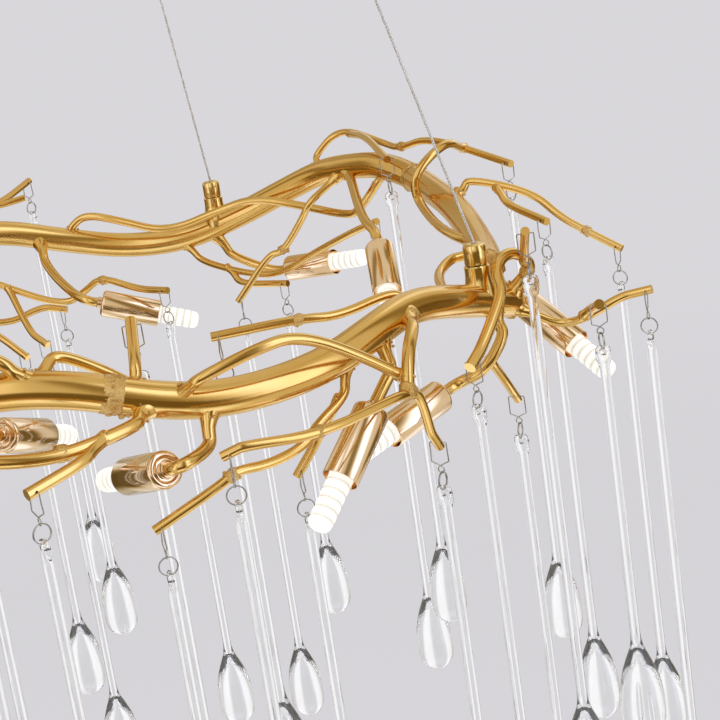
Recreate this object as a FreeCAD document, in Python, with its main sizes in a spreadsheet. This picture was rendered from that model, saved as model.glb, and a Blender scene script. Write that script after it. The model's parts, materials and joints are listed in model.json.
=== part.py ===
import FreeCAD, Part
import math
import os
import re

from FreeCAD import Placement, Rotation, Vector

# Ring chandelier of welded branches with hanging glass drops and lamps in gold sleeves.
# Millimetres, +Z up. The origin is the centre of the mounting face against the ceiling.

document = FreeCAD.newDocument("branch_chandelier")

# Driving sizes
SIZES = {
    "ring_radius": 320,
    "ring_depth": 640,
    "trunk_radius": 11,
    "trunk_end_radius": 7,
    "stem_radius": 4,
    "vine_radius": 3.5,
    "twig_radius": 3,
    "seat_gap": 0.3,
    "drill_radius": 0.8,
    "drill_setback": 4.5,
    "clip_wire_radius": 0.4,
    "clip_half_width": 5.6,
    "clip_leg": 12,
    "clip_height": 22,
    "split_ring_radius": 5.6,
    "split_ring_wire_radius": 0.5,
    "eye_radius": 6.5,
    "eye_bore_radius": 2.6,
    "eye_thickness": 4,
    "rod_radius": 3.4,
    "long_glass_length": 380,
    "short_glass_length": 290,
    "teardrop_radius": 15.5,
    "teardrop_length": 72,
    "sleeve_radius": 11.3,
    "sleeve_wall": 0.8,
    "sleeve_length": 50,
    "sleeve_back": 1.6,
    "boss_radius": 5,
    "boss_height": 4,
    "holder_radius": 9.2,
    "holder_length": 12,
    "bulb_radius": 7.6,
    "bulb_length": 79,
    "bulb_base_radius": 6.2,
    "bulb_base_length": 9,
    "bulb_dome_height": 5,
    "socket_radius": 7.6,
    "socket_height": 14,
    "socket_bore_radius": 5.4,
    "cap_radius": 7.2,
    "cap_height": 14.5,
    "cap_wall": 2,
    "cap_top": 3,
    "cap_chamfer": 1.5,
    "cable_radius": 0.75,
    "cable_hole_radius": 1.9,
    "stop_radius": 2.6,
    "stop_length": 6,
    "gripper_edge_distance": 22,
    "gripper_radius": 4.6,
    "gripper_length": 24,
    "gripper_flange_radius": 7.5,
    "gripper_flange_height": 3,
    "gripper_mouth_depth": 8,
    "gripper_neck_radius": 3.9,
    "canopy_radius": 180,
    "canopy_height": 28,
    "canopy_wall": 1.2,
    "canopy_edge_radius": 6,
    "bracket_length": 240,
    "bracket_width": 32,
    "bracket_thickness": 2.5,
    "bracket_hole_spacing": 140,
    "bracket_hole_radius": 2.75,
    "bracket_eye_radius": 6,
    "lead_hole_offset": 35,
    "stud_spacing": 200,
    "stud_radius": 2,
    "stud_play": 0.1,
    "stud_clearance": 0.4,
    "nut_radius": 5.5,
    "nut_height": 9,
    "terminal_length": 36,
    "terminal_width": 20,
    "terminal_height": 15,
    "terminal_bore_radius": 2.4,
    "terminal_pitch": 11,
    "terminal_offset": 35,
    "gland_radius": 5,
    "gland_flange_radius": 8.5,
    "gland_flange_height": 2.5,
    "gland_length": 18,
    "gland_bore_radius": 3,
    "cut_overrun": 1,
}

sheet = document.addObject("Spreadsheet::Sheet", "Sizes")
for row, (alias, value) in enumerate(SIZES.items(), start=1):
    sheet.set(f"A{row}", alias)
    sheet.set(f"B{row}", str(value))
    sheet.setAlias(f"B{row}", alias)
document.recompute()


def size(alias):
    """The number that the sheet holds under an alias."""
    return float(sheet.get(alias))


UP = Vector(0, 0, 1)
TRUNK_SIDES = 10
TURNED_SIDES = 6
TWIG_SIDES = 6
DRILL_SIDES = 6
BEND_SHARE = 0.3
START_SHARE = 0.9
SEATING_STEPS = 8
TAPER_SHARE = 0.5


def place(azimuth, radius_share, height_share):
    """A point near the ring: degrees from +X, and shares of the ring's radius outwards and above its plane."""
    turn = math.radians(azimuth)
    ring = size("ring_radius")
    across = ring * radius_share
    return Vector(across * math.cos(turn), across * math.sin(turn), ring * height_share - size("ring_depth"))


def heading(azimuth, elevation):
    """A unit direction from its azimuth and elevation in degrees."""
    turn, rise = math.radians(azimuth), math.radians(elevation)
    return Vector(math.cos(rise) * math.cos(turn), math.cos(rise) * math.sin(turn), math.sin(rise))


def unit(vector):
    """The vector at length one."""
    return Vector(vector).normalize()


# Tubes

def softened(points):
    """The points of a route with each bend cut into two smaller ones."""
    route = [points[0]]
    for before, corner, after in zip(points, points[1:], points[2:]):
        route.append(corner + (before - corner) * BEND_SHARE)
        route.append(corner + (after - corner) * BEND_SHARE)
    return route + [points[-1]]


def faceted_tube(points, radius, sides=TWIG_SIDES, closed=False, drawn=()):
    """A mitred tube with flat sides, open or closed into a loop, whose ends may be drawn down.

    Each drawn end is "first" or "last", and its outer share of the run narrows to the drawn radius.
    """
    points = list(points)
    if "first" in drawn:
        points.insert(1, points[0] + (points[1] - points[0]) * TAPER_SHARE)
    if "last" in drawn:
        points.insert(-1, points[-1] + (points[-2] - points[-1]) * TAPER_SHARE)
    count = len(points)
    runs = [unit(points[(i + 1) % count] - points[i]) for i in range(count if closed else count - 1)]
    aside = unit(runs[0].cross(UP)) if runs[0].cross(UP).Length > math.sin(math.radians(2)) else Vector(1, 0, 0)
    above = unit(aside.cross(runs[0]))
    spoke = [
        aside * math.cos(math.tau * (k + 0.5) / sides) + above * math.sin(math.tau * (k + 0.5) / sides)
        for k in range(sides)
    ]

    def mitred(corners, run, centre, normal):
        return [c + run * ((centre - c).dot(normal) / run.dot(normal)) for c in corners]

    def narrowed(corners, centre):
        return [centre + (c - centre) * (size("trunk_end_radius") / radius) for c in corners]

    start = [points[0] + s * radius for s in spoke]
    if closed:
        start = mitred(start, runs[0], points[0], unit(runs[-1] + runs[0]))
    sections = [start]
    for i, run in enumerate(runs, start=1):
        if closed:
            normal = unit(run + runs[i % count])
        else:
            normal = unit(run + runs[i]) if i < len(runs) else run
        sections.append(mitred(sections[-1], run, points[i % count], normal))
    if "first" in drawn:
        sections[0] = narrowed(sections[0], points[0])
    if "last" in drawn:
        sections[-1] = narrowed(sections[-1], points[-1])
    faces = []
    for lower, upper in zip(sections, sections[1:]):
        for k in range(sides):
            n = (k + 1) % sides
            faces.append(Part.Face(Part.makePolygon([lower[k], lower[n], upper[n], upper[k], lower[k]])))
    if not closed:
        for corners in (sections[0], sections[-1]):
            faces.append(Part.Face(Part.makePolygon(corners + corners[:1])))
    return closed_solid(faces)


def closed_solid(faces):
    """A solid from flat faces that close, turned right side out."""
    solid = Part.Solid(Part.Shell(faces))
    if solid.Volume < 0:
        solid.reverse()
    return solid


def faceted_turning(profile, sides):
    """A solid turned about Z with flat sides, from (radius, height) pairs listed along its outline."""
    rings = []
    for radius, height in profile:
        ring = [
            Vector(radius * math.cos(math.tau * k / sides), radius * math.sin(math.tau * k / sides), height)
            for k in range(sides)
        ]
        rings.append(ring if radius > 0 else [Vector(0, 0, height)] * sides)
    faces = []
    for lower, upper in zip(rings, rings[1:]):
        for k in range(sides):
            n = (k + 1) % sides
            corners = [lower[k]]
            for corner in (lower[n], upper[n], upper[k]):
                if corner.distanceToPoint(corners[-1]) > 0 and corner.distanceToPoint(corners[0]) > 0:
                    corners.append(corner)
            faces.append(Part.Face(Part.makePolygon(corners + corners[:1])))
    for (radius, height), ring in ((profile[0], rings[0]), (profile[-1], rings[-1])):
        if radius > 0:
            faces.append(Part.Face(Part.makePolygon(ring + ring[:1])))
    return closed_solid(faces)


def feature(label, pieces):
    """A document object that holds separate solids."""
    made = document.addObject("Part::Feature", label)
    made.Label = label
    made.Shape = pieces[0] if len(pieces) == 1 else Part.makeCompound(pieces)
    return made


def flat_sketch(body, name, plane, corners):
    """A closed outline of straight lines whose corners follow pairs of expressions."""
    import Sketcher

    sketch = body.newObject("Sketcher::SketchObject", name)
    origin_plane = next(f for f in body.Origin.OriginFeatures if f.Role == plane)
    sketch.AttachmentSupport = [(origin_plane, "")]
    sketch.MapMode = "FlatFace"
    spots = [Vector(evaluate(x), evaluate(y), 0) for x, y in corners]
    count = len(spots)
    for i in range(count):
        sketch.addGeometry(Part.LineSegment(spots[i], spots[(i + 1) % count]), False)
    for i in range(count):
        sketch.addConstraint(Sketcher.Constraint("Coincident", i, 2, (i + 1) % count, 1))
    for i, (x, y) in enumerate(corners):
        for kind, axis, text, value in (("DistanceX", -2, x, spots[i].x), ("DistanceY", -1, y, spots[i].y)):
            if text == "0":
                sketch.addConstraint(Sketcher.Constraint("PointOnObject", i, 1, axis))
            else:
                number = sketch.addConstraint(Sketcher.Constraint(kind, -1, 1, i, 1, value))
                sketch.setExpression(f"Constraints[{number}]", named(text))
    return sketch


def named(text):
    """An expression with each alias of the sheet written as a property of the sheet."""
    return re.sub("[a-z_]+", lambda word: "Sizes." + word.group(), text)


def evaluate(text):
    """The present value of an expression on the sheet."""
    if text == "0":
        return 0.0
    probe = document.addObject("App::FeaturePython", "probe")
    probe.addProperty("App::PropertyFloat", "Value")
    probe.setExpression("Value", named(text))
    probe.recompute()
    value = probe.Value
    document.removeObject(probe.Name)
    return value


def moved(shape, base, rotation=Rotation()):
    """A copy of a shape, turned and then moved."""
    copy = shape.copy()
    copy.Placement = Placement(base, rotation)
    return copy


# Trunk: five branches side by side at their ends. Each place is azimuth, radius share, height share.
TRUNK_PLACE_SHARES = {
    "trunk_front": [
        (-80.0, 1.0, 0.015), (-74, 1.0, -0.02), (-66, 1.0, -0.036), (-57, 1.0, -0.026),
        (-49, 0.985, 0.0), (-41, 0.965, 0.01), (-32, 0.975, -0.02), (-20.5, 1.01, -0.075),
    ],
    "trunk_front_left": [
        (-80.2, 1.0, 0.016), (-87, 1.0, 0.05), (-97, 1.0, 0.05), (-107, 0.99, 0.02),
        (-117, 0.97, 0.0), (-128, 0.96, 0.02),
    ],
    "trunk_left": [
        (-118, 1.054, -0.01), (-130, 1.034, 0.0), (-142, 1.0, 0.045), (-154, 0.99, 0.04), (-167, 1.0, 0.0),
        (-180, 1.0, -0.02), (-194, 0.99, 0.0), (-207, 0.965, 0.03), (-219, 0.945, 0.045),
    ],
    "trunk_back": [
        (145, 1.02, 0.03), (134, 1.02, 0.055), (122, 1.0, 0.06), (110, 1.0, 0.035), (100, 1.0, -0.02),
        (90, 1.0, -0.064), (80, 1.0, -0.064), (70, 1.0, -0.013), (61.5, 1.0, 0.043), (54, 0.995, 0.088),
        (46, 0.965, 0.108), (37.4, 0.953, 0.112), (29, 0.934, 0.092),
    ],
    "trunk_right": [
        (28.7, 0.933, 0.091), (21, 0.907, 0.078), (8, 0.897, 0.055), (-4, 0.912, 0.022),
        (-14, 0.943, 0.008), (-21.5, 0.976, 0.006),
    ],
}
# Which ends of a trunk branch are drawn down to a smaller radius
TAPERED_ENDS = {"trunk_back": ("first",), "trunk_left": ("last",)}

routes = {}
radii = {}
solids = {}


def trunk_branch(label):
    """A thick branch of the ring."""
    points = softened([place(*spot) for spot in TRUNK_PLACE_SHARES[label]])
    routes[label], radii[label] = Part.makePolygon(points), size("trunk_radius")
    solids[label] = faceted_tube(points, size("trunk_radius"), TRUNK_SIDES, drawn=TAPERED_ENDS.get(label, ()))
    return feature(label, [solids[label]])


# Thin tubes: each starts on the tube that carries it, and may end on another.
def nearest(route, point):
    """The spot of a route that is closest to a point, and the route's direction there."""
    spot = route.distToShape(Part.Vertex(point))[1][0][0]
    edge = min(route.Edges, key=lambda piece: piece.distToShape(Part.Vertex(spot))[0])
    return spot, unit(edge.tangentAt(edge.Curve.parameter(spot)))


def seated(point, towards, carrier, radius):
    """Where a tube's end stands so that its rim clears the carrier by the seat gap.

    The end starts outside the carrier and moves in by what it is still clear of it, which can't overshoot.
    """
    near, tangent = nearest(routes[carrier], point)
    direction = unit(towards - near)
    angle = direction.getAngle(tangent)
    reach = (radii[carrier] + size("seat_gap") + radius) / math.sin(angle)
    start = near + direction * min(reach, near.distanceToPoint(towards) * START_SHARE)
    for _ in range(SEATING_STEPS):
        clear = faceted_tube([start, towards], radius).distToShape(solids[carrier])[0]
        start -= direction * (clear - size("seat_gap"))
    return start


def drill(tube, end, before, radius):
    """The tube with a level hole through its tip, and the hole's centre and axis."""
    along = unit(end - before)
    centre = end - along * size("drill_setback")
    axis = unit(along.cross(UP))
    reach = radius + size("cut_overrun")
    bore = faceted_tube([centre - axis * reach, centre + axis * reach], size("drill_radius"), DRILL_SIDES)
    return tube.cut(bore), centre, axis


hinges = []


def branch(name, radius_alias, carrier, shares, drilled=(), ends_on=None):
    """A thin tube through its places, seated on its carrier, with its drilled tips noted for the drops."""
    radius = size(radius_alias)
    points = [place(*spot) for spot in shares]
    if carrier:
        points[0] = seated(points[0], points[1], carrier, radius)
    if ends_on:
        points[-1] = seated(points[-1], points[-2], ends_on, radius)
    routes[name], radii[name] = Part.makePolygon(points), radius
    tube = solids[name] = faceted_tube(points, radius)
    for which in drilled:
        end, before = (points[-1], points[-2]) if which == "last" else (points[0], points[1])
        tube, centre, axis = drill(tube, end, before, radius)
        hinges.append((name, centre, axis))
    return tube


# Branches by group: name, radius, carrier, places, drilled ends, tube that it ends on
FRONT_BRANCH_SHARES = [
    ("sweeping_branch", "stem_radius", "trunk_front",
     [(-76.5, 1.0, -0.012), (-79, 1.06, -0.03), (-85.5, 1.12, -0.041), (-90.5, 1.145, -0.03), (-95.5, 1.15, -0.008)],
     ("last",), None),
    ("sweeping_fork", "vine_radius", "sweeping_branch",
     [(-81.5, 1.08, -0.033), (-84, 1.135, -0.055), (-88.5, 1.2, -0.077)], ("last",), None),
    ("low_branch", "twig_radius", "trunk_front",
     [(-53.5, 1.0, -0.012), (-55.5, 1.006, -0.09), (-59.5, 1.016, -0.128), (-62, 1.025, -0.155),
      (-66, 1.038, -0.164), (-69.5, 1.047, -0.16), (-71.5, 1.05, -0.175), (-78.7, 1.047, -0.232)], ("last",), None),
    ("knot_branch", "twig_radius", None,
     [(-72.2, 1.15, -0.094), (-69.8, 1.161, -0.083), (-63.2, 1.161, -0.094), (-55.1, 1.139, -0.086),
      (-52.2, 1.124, -0.091), (-51, 1.122, -0.1), (-50.1, 1.116, -0.136), (-49.2, 1.106, -0.184),
      (-47.8, 1.097, -0.225)], ("first", "last"), None),
    ("knot_stem", "stem_radius", "trunk_front",
     [(-43, 0.975, 0.006), (-46.9, 1.05, 0.001), (-50.5, 1.1, -0.03), (-52.2, 1.124, -0.091)], (), "knot_branch"),
    ("inner_fork", "twig_radius", "low_branch",
     [(-55.9, 1.006, -0.092), (-57.5, 0.956, -0.17), (-60.6, 0.937, -0.24)], ("last",), None),
    ("back_reaching_twig", "twig_radius", "trunk_front",
     [(-37.5, 0.968, 0.0), (-41.5, 0.918, 0.034), (-48.8, 0.89, 0.025), (-54.3, 0.859, 0.034), (-65, 0.797, 0.031)],
     ("last",), None),
    ("standing_stub", "vine_radius", "trunk_front",
     [(-77.8, 1.0, -0.002), (-77.2, 0.965, 0.055), (-76.2, 0.875, 0.115)], ("last",), None),
    ("rising_stub", "stem_radius", "trunk_front_left",
     [(-87.5, 1.0, 0.05), (-90.4, 1.015, 0.11), (-96, 1.01, 0.16), (-100, 1.07, 0.175), (-103, 1.15, 0.155)],
     (), None),
]
RIGHT_BRANCH_SHARES = [
    ("hook_branch", "stem_radius", "trunk_front",
     [(-21.5, 1.01, -0.068), (-21.1, 1.061, -0.003), (-22.9, 1.052, 0.035), (-25.2, 1.035, 0.042),
      (-27.4, 1.03, 0.021), (-29.1, 1.047, -0.014), (-32.1, 1.047, -0.058), (-35.3, 1.045, -0.101),
      (-38, 1.045, -0.127)], ("last",), None),
    ("arm_fork", "twig_radius", "lamp_03", [(-28.3, 0.995, -0.16), (-24.6, 1.0, -0.231), (-20.7, 1.0, -0.292)],
     ("last",), None),
    ("hook_stub", "twig_radius", "hook_branch",
     [(-22.2, 1.059, 0.015), (-25.3, 1.083, 0.066), (-28.1, 1.108, 0.104)], ("last",), None),
    ("long_outer_twig", "twig_radius", "trunk_front",
     [(-21.6, 1.005, -0.078), (-20, 1.109, -0.13), (-20, 1.175, -0.118), (-19, 1.238, -0.091), (-19, 1.307, -0.077)],
     ("last",), None),
    ("viewer_stub", "vine_radius", "long_outer_twig",
     [(-20, 1.16, -0.121), (-21, 1.185, -0.1), (-23.5, 1.215, -0.078)], ("last",), None),
    ("falling_twig", "twig_radius", "trunk_right",
     [(12, 0.9, 0.065), (11.5, 0.96, 0.1), (8, 1.08, 0.06), (5, 1.134, 0.004), (3, 1.19, -0.037), (1, 1.255, -0.08)],
     ("last",), None),
    ("falling_fork", "twig_radius", "falling_twig",
     [(10, 1.01, 0.083), (5.5, 1.02, 0.05), (-1, 1.084, 0.018)], ("last",), None),
]
BACK_BRANCH_SHARES = [
    ("top_branch", "twig_radius", "trunk_back",
     [(55.5, 0.998, 0.08), (56, 1.04, 0.13), (52, 1.066, 0.187), (44, 1.051, 0.155), (38, 1.02, 0.148),
      (30, 1.02, 0.17), (14, 1.079, 0.119)], ("last",), None),
    ("top_fork", "twig_radius", "top_branch",
     [(50.5, 1.062, 0.18), (42, 0.96, 0.185), (27.5, 0.85, 0.156)], ("last",), None),
    ("kinked_twig", "twig_radius", "trunk_back",
     [(48.5, 0.97, 0.095), (51.8, 0.88, 0.03), (54, 0.87, -0.017), (58.2, 0.85, -0.095), (61.3, 0.84, -0.113),
      (67.7, 0.8, -0.222)], ("last",), None),
    ("inner_long_twig", "twig_radius", "trunk_back",
     [(121, 1.0, 0.052), (118, 0.93, -0.03), (113.5, 0.86, -0.082), (103.7, 0.765, -0.15), (98.3, 0.735, -0.127),
      (93.8, 0.7, -0.095), (85.6, 0.64, -0.122), (76.5, 0.583, -0.126)], ("last",), None),
    ("inner_fork_back", "twig_radius", "inner_long_twig",
     [(112.2, 0.845, -0.092), (111, 0.734, -0.2), (108.7, 0.672, -0.239)], ("last",), None),
    ("under_twig", "twig_radius", "trunk_back",
     [(81.4, 1.0, -0.066), (77, 0.96, -0.13), (68.6, 0.9, -0.161), (60.9, 0.88, -0.164), (51.2, 0.865, -0.102),
      (42, 0.865, -0.048), (35, 0.865, -0.014)], ("last",), None),
    ("under_fork", "twig_radius", "under_twig",
     [(72.5, 0.928, -0.147), (68.6, 0.885, -0.187), (58.6, 0.858, -0.19)], ("last",), None),
    ("low_back_twig", "twig_radius", "trunk_back",
     [(128, 1.01, 0.055), (126.5, 0.97, -0.1), (115, 0.87, -0.191), (107.2, 0.85, -0.172), (102.2, 0.82, -0.184)],
     ("last",), None),
    ("reaching_back_twig", "twig_radius", "trunk_back",
     [(134, 1.02, 0.05), (130, 0.86, -0.06), (124, 0.75, -0.123), (119.2, 0.672, -0.187), (115.5, 0.594, -0.243)],
     ("last",), None),
    ("outer_back_twig", "twig_radius", "trunk_back",
     [(118, 1.0, 0.05), (115.2, 1.063, 0.08), (108, 1.125, 0.103), (103, 1.2, 0.14)], ("last",), None),
    ("outer_back_fork", "twig_radius", "outer_back_twig",
     [(110, 1.108, 0.096), (107, 1.1, 0.1), (104.5, 1.1, 0.106)], (), None),
]
LEFT_BRANCH_SHARES = [
    ("left_outer_1", "twig_radius", "trunk_front_left",
     [(-103, 1.0, 0.035), (-104, 1.08, 0.01), (-107, 1.15, 0.02), (-110, 1.24, -0.03)], ("last",), None),
    ("left_inner_1", "twig_radius", "trunk_front_left",
     [(-109, 0.99, 0.015), (-108, 0.92, 0.06), (-104, 0.85, 0.03), (-101, 0.77, 0.02)], ("last",), None),
    ("left_outer_2", "twig_radius", "trunk_left",
     [(-136, 1.015, 0.02), (-137, 1.09, 0.05), (-135, 1.16, 0.02), (-134, 1.26, -0.02)], ("last",), None),
    ("left_inner_2", "twig_radius", "trunk_left",
     [(-145, 1.0, 0.045), (-143, 0.92, 0.08), (-138, 0.86, 0.03), (-135, 0.78, 0.01)], ("last",), None),
    ("left_outer_3", "twig_radius", "trunk_left",
     [(-174, 1.0, -0.01), (-172, 1.08, 0.0), (-170, 1.16, -0.05), (-167, 1.25, -0.07)], ("last",), None),
    ("left_inner_3", "twig_radius", "trunk_left",
     [(-186, 1.0, -0.01), (-184, 0.91, -0.04), (-180, 0.84, -0.02), (-177, 0.76, -0.07)], ("last",), None),
    ("left_outer_4", "twig_radius", "trunk_left",
     [(-196, 0.99, 0.005), (-195, 1.07, 0.03), (-191, 1.15, 0.0), (-190, 1.24, -0.04)], ("last",), None),
]
VINE_SHARES = [
    ("front_vine", "vine_radius", "trunk_front",
     [(-74.5, 1.0, -0.018), (-71.7, 1.055, 0.025), (-66, 1.069, 0.055), (-61.4, 1.069, 0.055),
      (-55.7, 1.088, -0.004), (-51.4, 1.098, -0.064)], (), "knot_stem"),
    ("front_left_vine", "vine_radius", "trunk_front_left",
     [(-88.5, 1.0, 0.05), (-85.5, 0.94, 0.085), (-82, 0.932, 0.06), (-78.5, 0.935, 0.02), (-76, 0.99, -0.008)],
     (), "trunk_front"),
    ("back_vine", "vine_radius", "trunk_back",
     [(99, 1.0, -0.025), (96.8, 0.99, 0.04), (90.2, 0.95, 0.015), (82, 0.937, -0.025), (72.2, 0.937, 0.013),
      (65, 0.93, 0.034), (55.6, 0.925, 0.009), (46.5, 0.915, -0.011), (41.7, 0.905, 0.011), (38, 0.94, 0.09)],
     (), "trunk_back"),
    ("crossing_vine", "vine_radius", "top_branch",
     [(24, 1.042, 0.151), (18, 0.94, 0.185), (16, 0.845, 0.13), (15.5, 0.845, 0.06), (-3.7, 0.853, 0.032),
      (-9, 0.925, 0.013)], (), "trunk_right"),
    ("end_vine", "vine_radius", "trunk_right",
     [(-11, 0.935, 0.01), (-15, 0.87, 0.005), (-22, 0.862, -0.015), (-33, 0.975, -0.018)], (), "trunk_front"),
]

# Lamps: name, place of the sleeve's boss, heading, carrier, places of the arm before the boss
LAMP_SHARES = [
    ("lamp_01", (-53, 1.031, -0.129), (-130, -38.5), "trunk_front", [(-48.5, 0.985, 0.0), (-49.3, 1.02, -0.065)]),
    ("lamp_02", (-76.5, 1.047, -0.125), (125, -15), "trunk_front", [(-70.5, 1.0, -0.03), (-72, 1.04, -0.1)]),
    ("lamp_03", (-32, 0.905, -0.22), (-142, -13), "trunk_front",
     [(-25, 0.995, -0.053), (-27, 1.02, -0.116), (-29, 0.985, -0.18)]),
    ("lamp_04", (-10, 1.014, -0.129), (-49.5, -32), "trunk_right", [(-13, 0.942, 0.008), (-12, 0.96, -0.06)]),
    ("lamp_05", (18, 0.734, -0.029), (-89, -34), "trunk_back", [(47.5, 0.97, 0.1), (30, 0.775, 0.025)]),
    ("lamp_06", (62.5, 0.98, -0.176), (-33, 6), "trunk_back", [(76, 1.0, -0.045), (72.5, 1.0, -0.13)]),
    ("lamp_07", (94.6, 0.643, -0.148), (0, -19.5), "trunk_back",
     [(104, 1.0, 0.0), (104, 0.905, -0.056), (102.6, 0.78, -0.095)]),
    ("lamp_08", (-97, 0.74, -0.096), (69, -19), "trunk_front_left", [(-97, 1.0, 0.05), (-97.5, 0.9, -0.05)]),
    ("lamp_09", (-113, 1.06, -0.14), (-30, -25), "trunk_front_left", [(-112, 0.98, 0.01), (-112, 1.01, -0.07)]),
    ("lamp_10", (-150, 0.9, -0.14), (20, -20), "trunk_left", [(-151, 0.99, 0.04), (-150.5, 0.96, -0.06)]),
    ("lamp_11", (-181, 1.06, -0.15), (-205, -30), "trunk_left", [(-180, 1.0, -0.02), (-180.5, 1.02, -0.09)]),
    ("lamp_12", (-206, 0.88, -0.1), (-60, -20), "trunk_left", [(-202, 0.975, 0.016), (-204, 0.93, -0.05)]),
]
trunks = [trunk_branch(label) for label in TRUNK_PLACE_SHARES]

arms = []
lamp_places = []
for name, spot, (azimuth, elevation), carrier, shares in LAMP_SHARES:
    forward = heading(azimuth, elevation)
    boss = place(*spot) - forward * size("boss_height")
    lead_in = size("sleeve_length") / 4
    points = [place(*share) for share in shares]
    points[0] = seated(points[0], points[1], carrier, size("stem_radius"))
    points += [boss - forward * lead_in, boss - forward * size("seat_gap")]
    routes[name], radii[name] = Part.makePolygon(points), size("stem_radius")
    solids[name] = faceted_tube(points, size("stem_radius"))
    arms.append(solids[name])
    lamp_places.append(Placement(boss, Rotation(UP, forward)))
feature("lamp_arms", arms)

groups = {
    "front_branches": FRONT_BRANCH_SHARES,
    "right_branches": RIGHT_BRANCH_SHARES,
    "back_branches": BACK_BRANCH_SHARES,
    "left_branches": LEFT_BRANCH_SHARES,
    "climbing_vines": VINE_SHARES,
}
for label, rows in groups.items():
    feature(label, [branch(*row) for row in rows])


# Drops: each hangs by a wire clip from a drilled tip, with a split ring and a glass rod that has an eye
def prism(label, sides, radius_alias, height_alias, placement):
    """A straight prism whose circumradius and height follow the sheet."""
    made = document.addObject("Part::Prism", label)
    made.Polygon = sides
    made.setExpression("Circumradius", named(radius_alias))
    made.setExpression("Height", named(height_alias))
    made.Placement = placement
    return made


def joined(label, kind, first, second):
    """A cut or a union of two document objects."""
    made = document.addObject(kind, label)
    if kind == "Part::MultiFuse":
        made.Shapes = [first, second]
    else:
        made.Base, made.Tool = first, second
    return made


RING_SIDES = 6
WIRE_SIDES = 3
GLASS_SIDES = 6
EYE_SIDES = 6
BORE_SIDES = 6

half_turn_of_ring = math.pi / RING_SIDES
wire_contact = size("clip_wire_radius") + size("split_ring_wire_radius") + size("seat_gap")
clip_slope = math.atan2(size("clip_height") - size("clip_leg"), size("clip_half_width"))
ring_apothem = size("split_ring_radius") * math.cos(half_turn_of_ring)
ring_level = wire_contact / math.cos(clip_slope) - size("clip_height") - ring_apothem
eye_bore_top = ring_level - ring_apothem + size("split_ring_wire_radius") + size("seat_gap")
eye_level = eye_bore_top - size("eye_bore_radius") * math.cos(math.pi / BORE_SIDES)

clip_points = [
    Vector(-size("clip_half_width"), 0, 0),
    Vector(size("clip_half_width"), 0, 0),
    Vector(size("clip_half_width"), 0, -size("clip_leg")),
    Vector(0, 0, -size("clip_height")),
    Vector(-size("clip_half_width"), 0, -size("clip_leg")),
]
clip = feature("clip_pattern", [faceted_tube(clip_points, size("clip_wire_radius"), WIRE_SIDES, closed=True)])
ring_points = [
    Vector(
        0,
        size("split_ring_radius") * math.sin(half_turn_of_ring * (2 * k + 1)),
        ring_level + size("split_ring_radius") * math.cos(half_turn_of_ring * (2 * k + 1)),
    )
    for k in range(RING_SIDES)
]
split_ring = feature(
    "split_ring_pattern", [faceted_tube(ring_points, size("split_ring_wire_radius"), WIRE_SIDES, closed=True)]
)
across_eye = Rotation(Vector(1, 0, 0), -90)
eye_turn = Rotation(UP, 180 / EYE_SIDES)
# The drop-shaped end of the rod: share of its radius, share of its length above the tip
TEARDROP_SHARES = [(0.4, 0.0), (1.0, 0.24)]
# The numbers of the drops with the short rod
SHORT_DROPS = {2, 7, 13, 22, 23, 24}


def glass_drop(label, length_alias):
    """A glass rod that hangs from its pierced eye and ends in a drop."""
    glass_end = eye_level + size("eye_radius") - size(length_alias)
    profile = [(size("teardrop_radius") * across, glass_end + size("teardrop_length") * rise)
               for across, rise in TEARDROP_SHARES]
    rod_top = eye_level - size("eye_bore_radius") - size("cut_overrun") / 2
    profile += [(size("rod_radius"), glass_end + size("teardrop_length")), (size("rod_radius"), rod_top)]
    rod = feature(label + "_rod", [faceted_turning(profile, GLASS_SIDES)])
    eye = prism(label + "_eye", EYE_SIDES, "eye_radius", "eye_thickness",
                Placement(Vector(0, -size("eye_thickness") / 2, eye_level), across_eye * eye_turn))
    bore = prism(label + "_bore", BORE_SIDES, "eye_bore_radius", "eye_thickness * 2",
                 Placement(Vector(0, -size("eye_thickness"), eye_level), across_eye))
    body = joined(label + "_body", "Part::MultiFuse", rod, eye)
    return joined(label, "Part::Cut", body, bore)


long_glass = glass_drop("long_glass_pattern", "long_glass_length")
short_glass = glass_drop("short_glass_pattern", "short_glass_length")

drops = []
for number, (name, centre, axis) in enumerate(hinges, start=1):
    drop = document.addObject("Part::Compound", f"drop_{number:02d}")
    drop.Label = f"drop_{number:02d}"
    drop.Links = [short_glass if number in SHORT_DROPS else long_glass, split_ring, clip]
    drop.Placement = Placement(centre, Rotation(UP, math.degrees(math.atan2(axis.y, axis.x))))
    drops.append(drop)

# Lamps: a sleeve with a boss for its arm, a holder in it and a bulb plugged into the holder
SLEEVE_SIDES = 8
HOLDER_SIDES = 6
BULB_SIDES = 6

level = Placement()
boss_top = Placement(Vector(0, 0, size("boss_height")), Rotation())
sleeve_floor = Placement(Vector(0, 0, size("boss_height") + size("sleeve_back")), Rotation())
sleeve_boss = prism("boss_pattern", BULB_SIDES, "boss_radius", "boss_height", level)
sleeve_body = prism("sleeve_body_pattern", SLEEVE_SIDES, "sleeve_radius", "sleeve_length", boss_top)
sleeve_hollow = prism("sleeve_hollow_pattern", SLEEVE_SIDES, "sleeve_radius - sleeve_wall", "sleeve_length",
                      sleeve_floor)
sleeve_cup = joined("sleeve_cup_pattern", "Part::Cut", sleeve_body, sleeve_hollow)
sleeve = joined("sleeve_pattern", "Part::MultiFuse", sleeve_cup, sleeve_boss)

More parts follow.
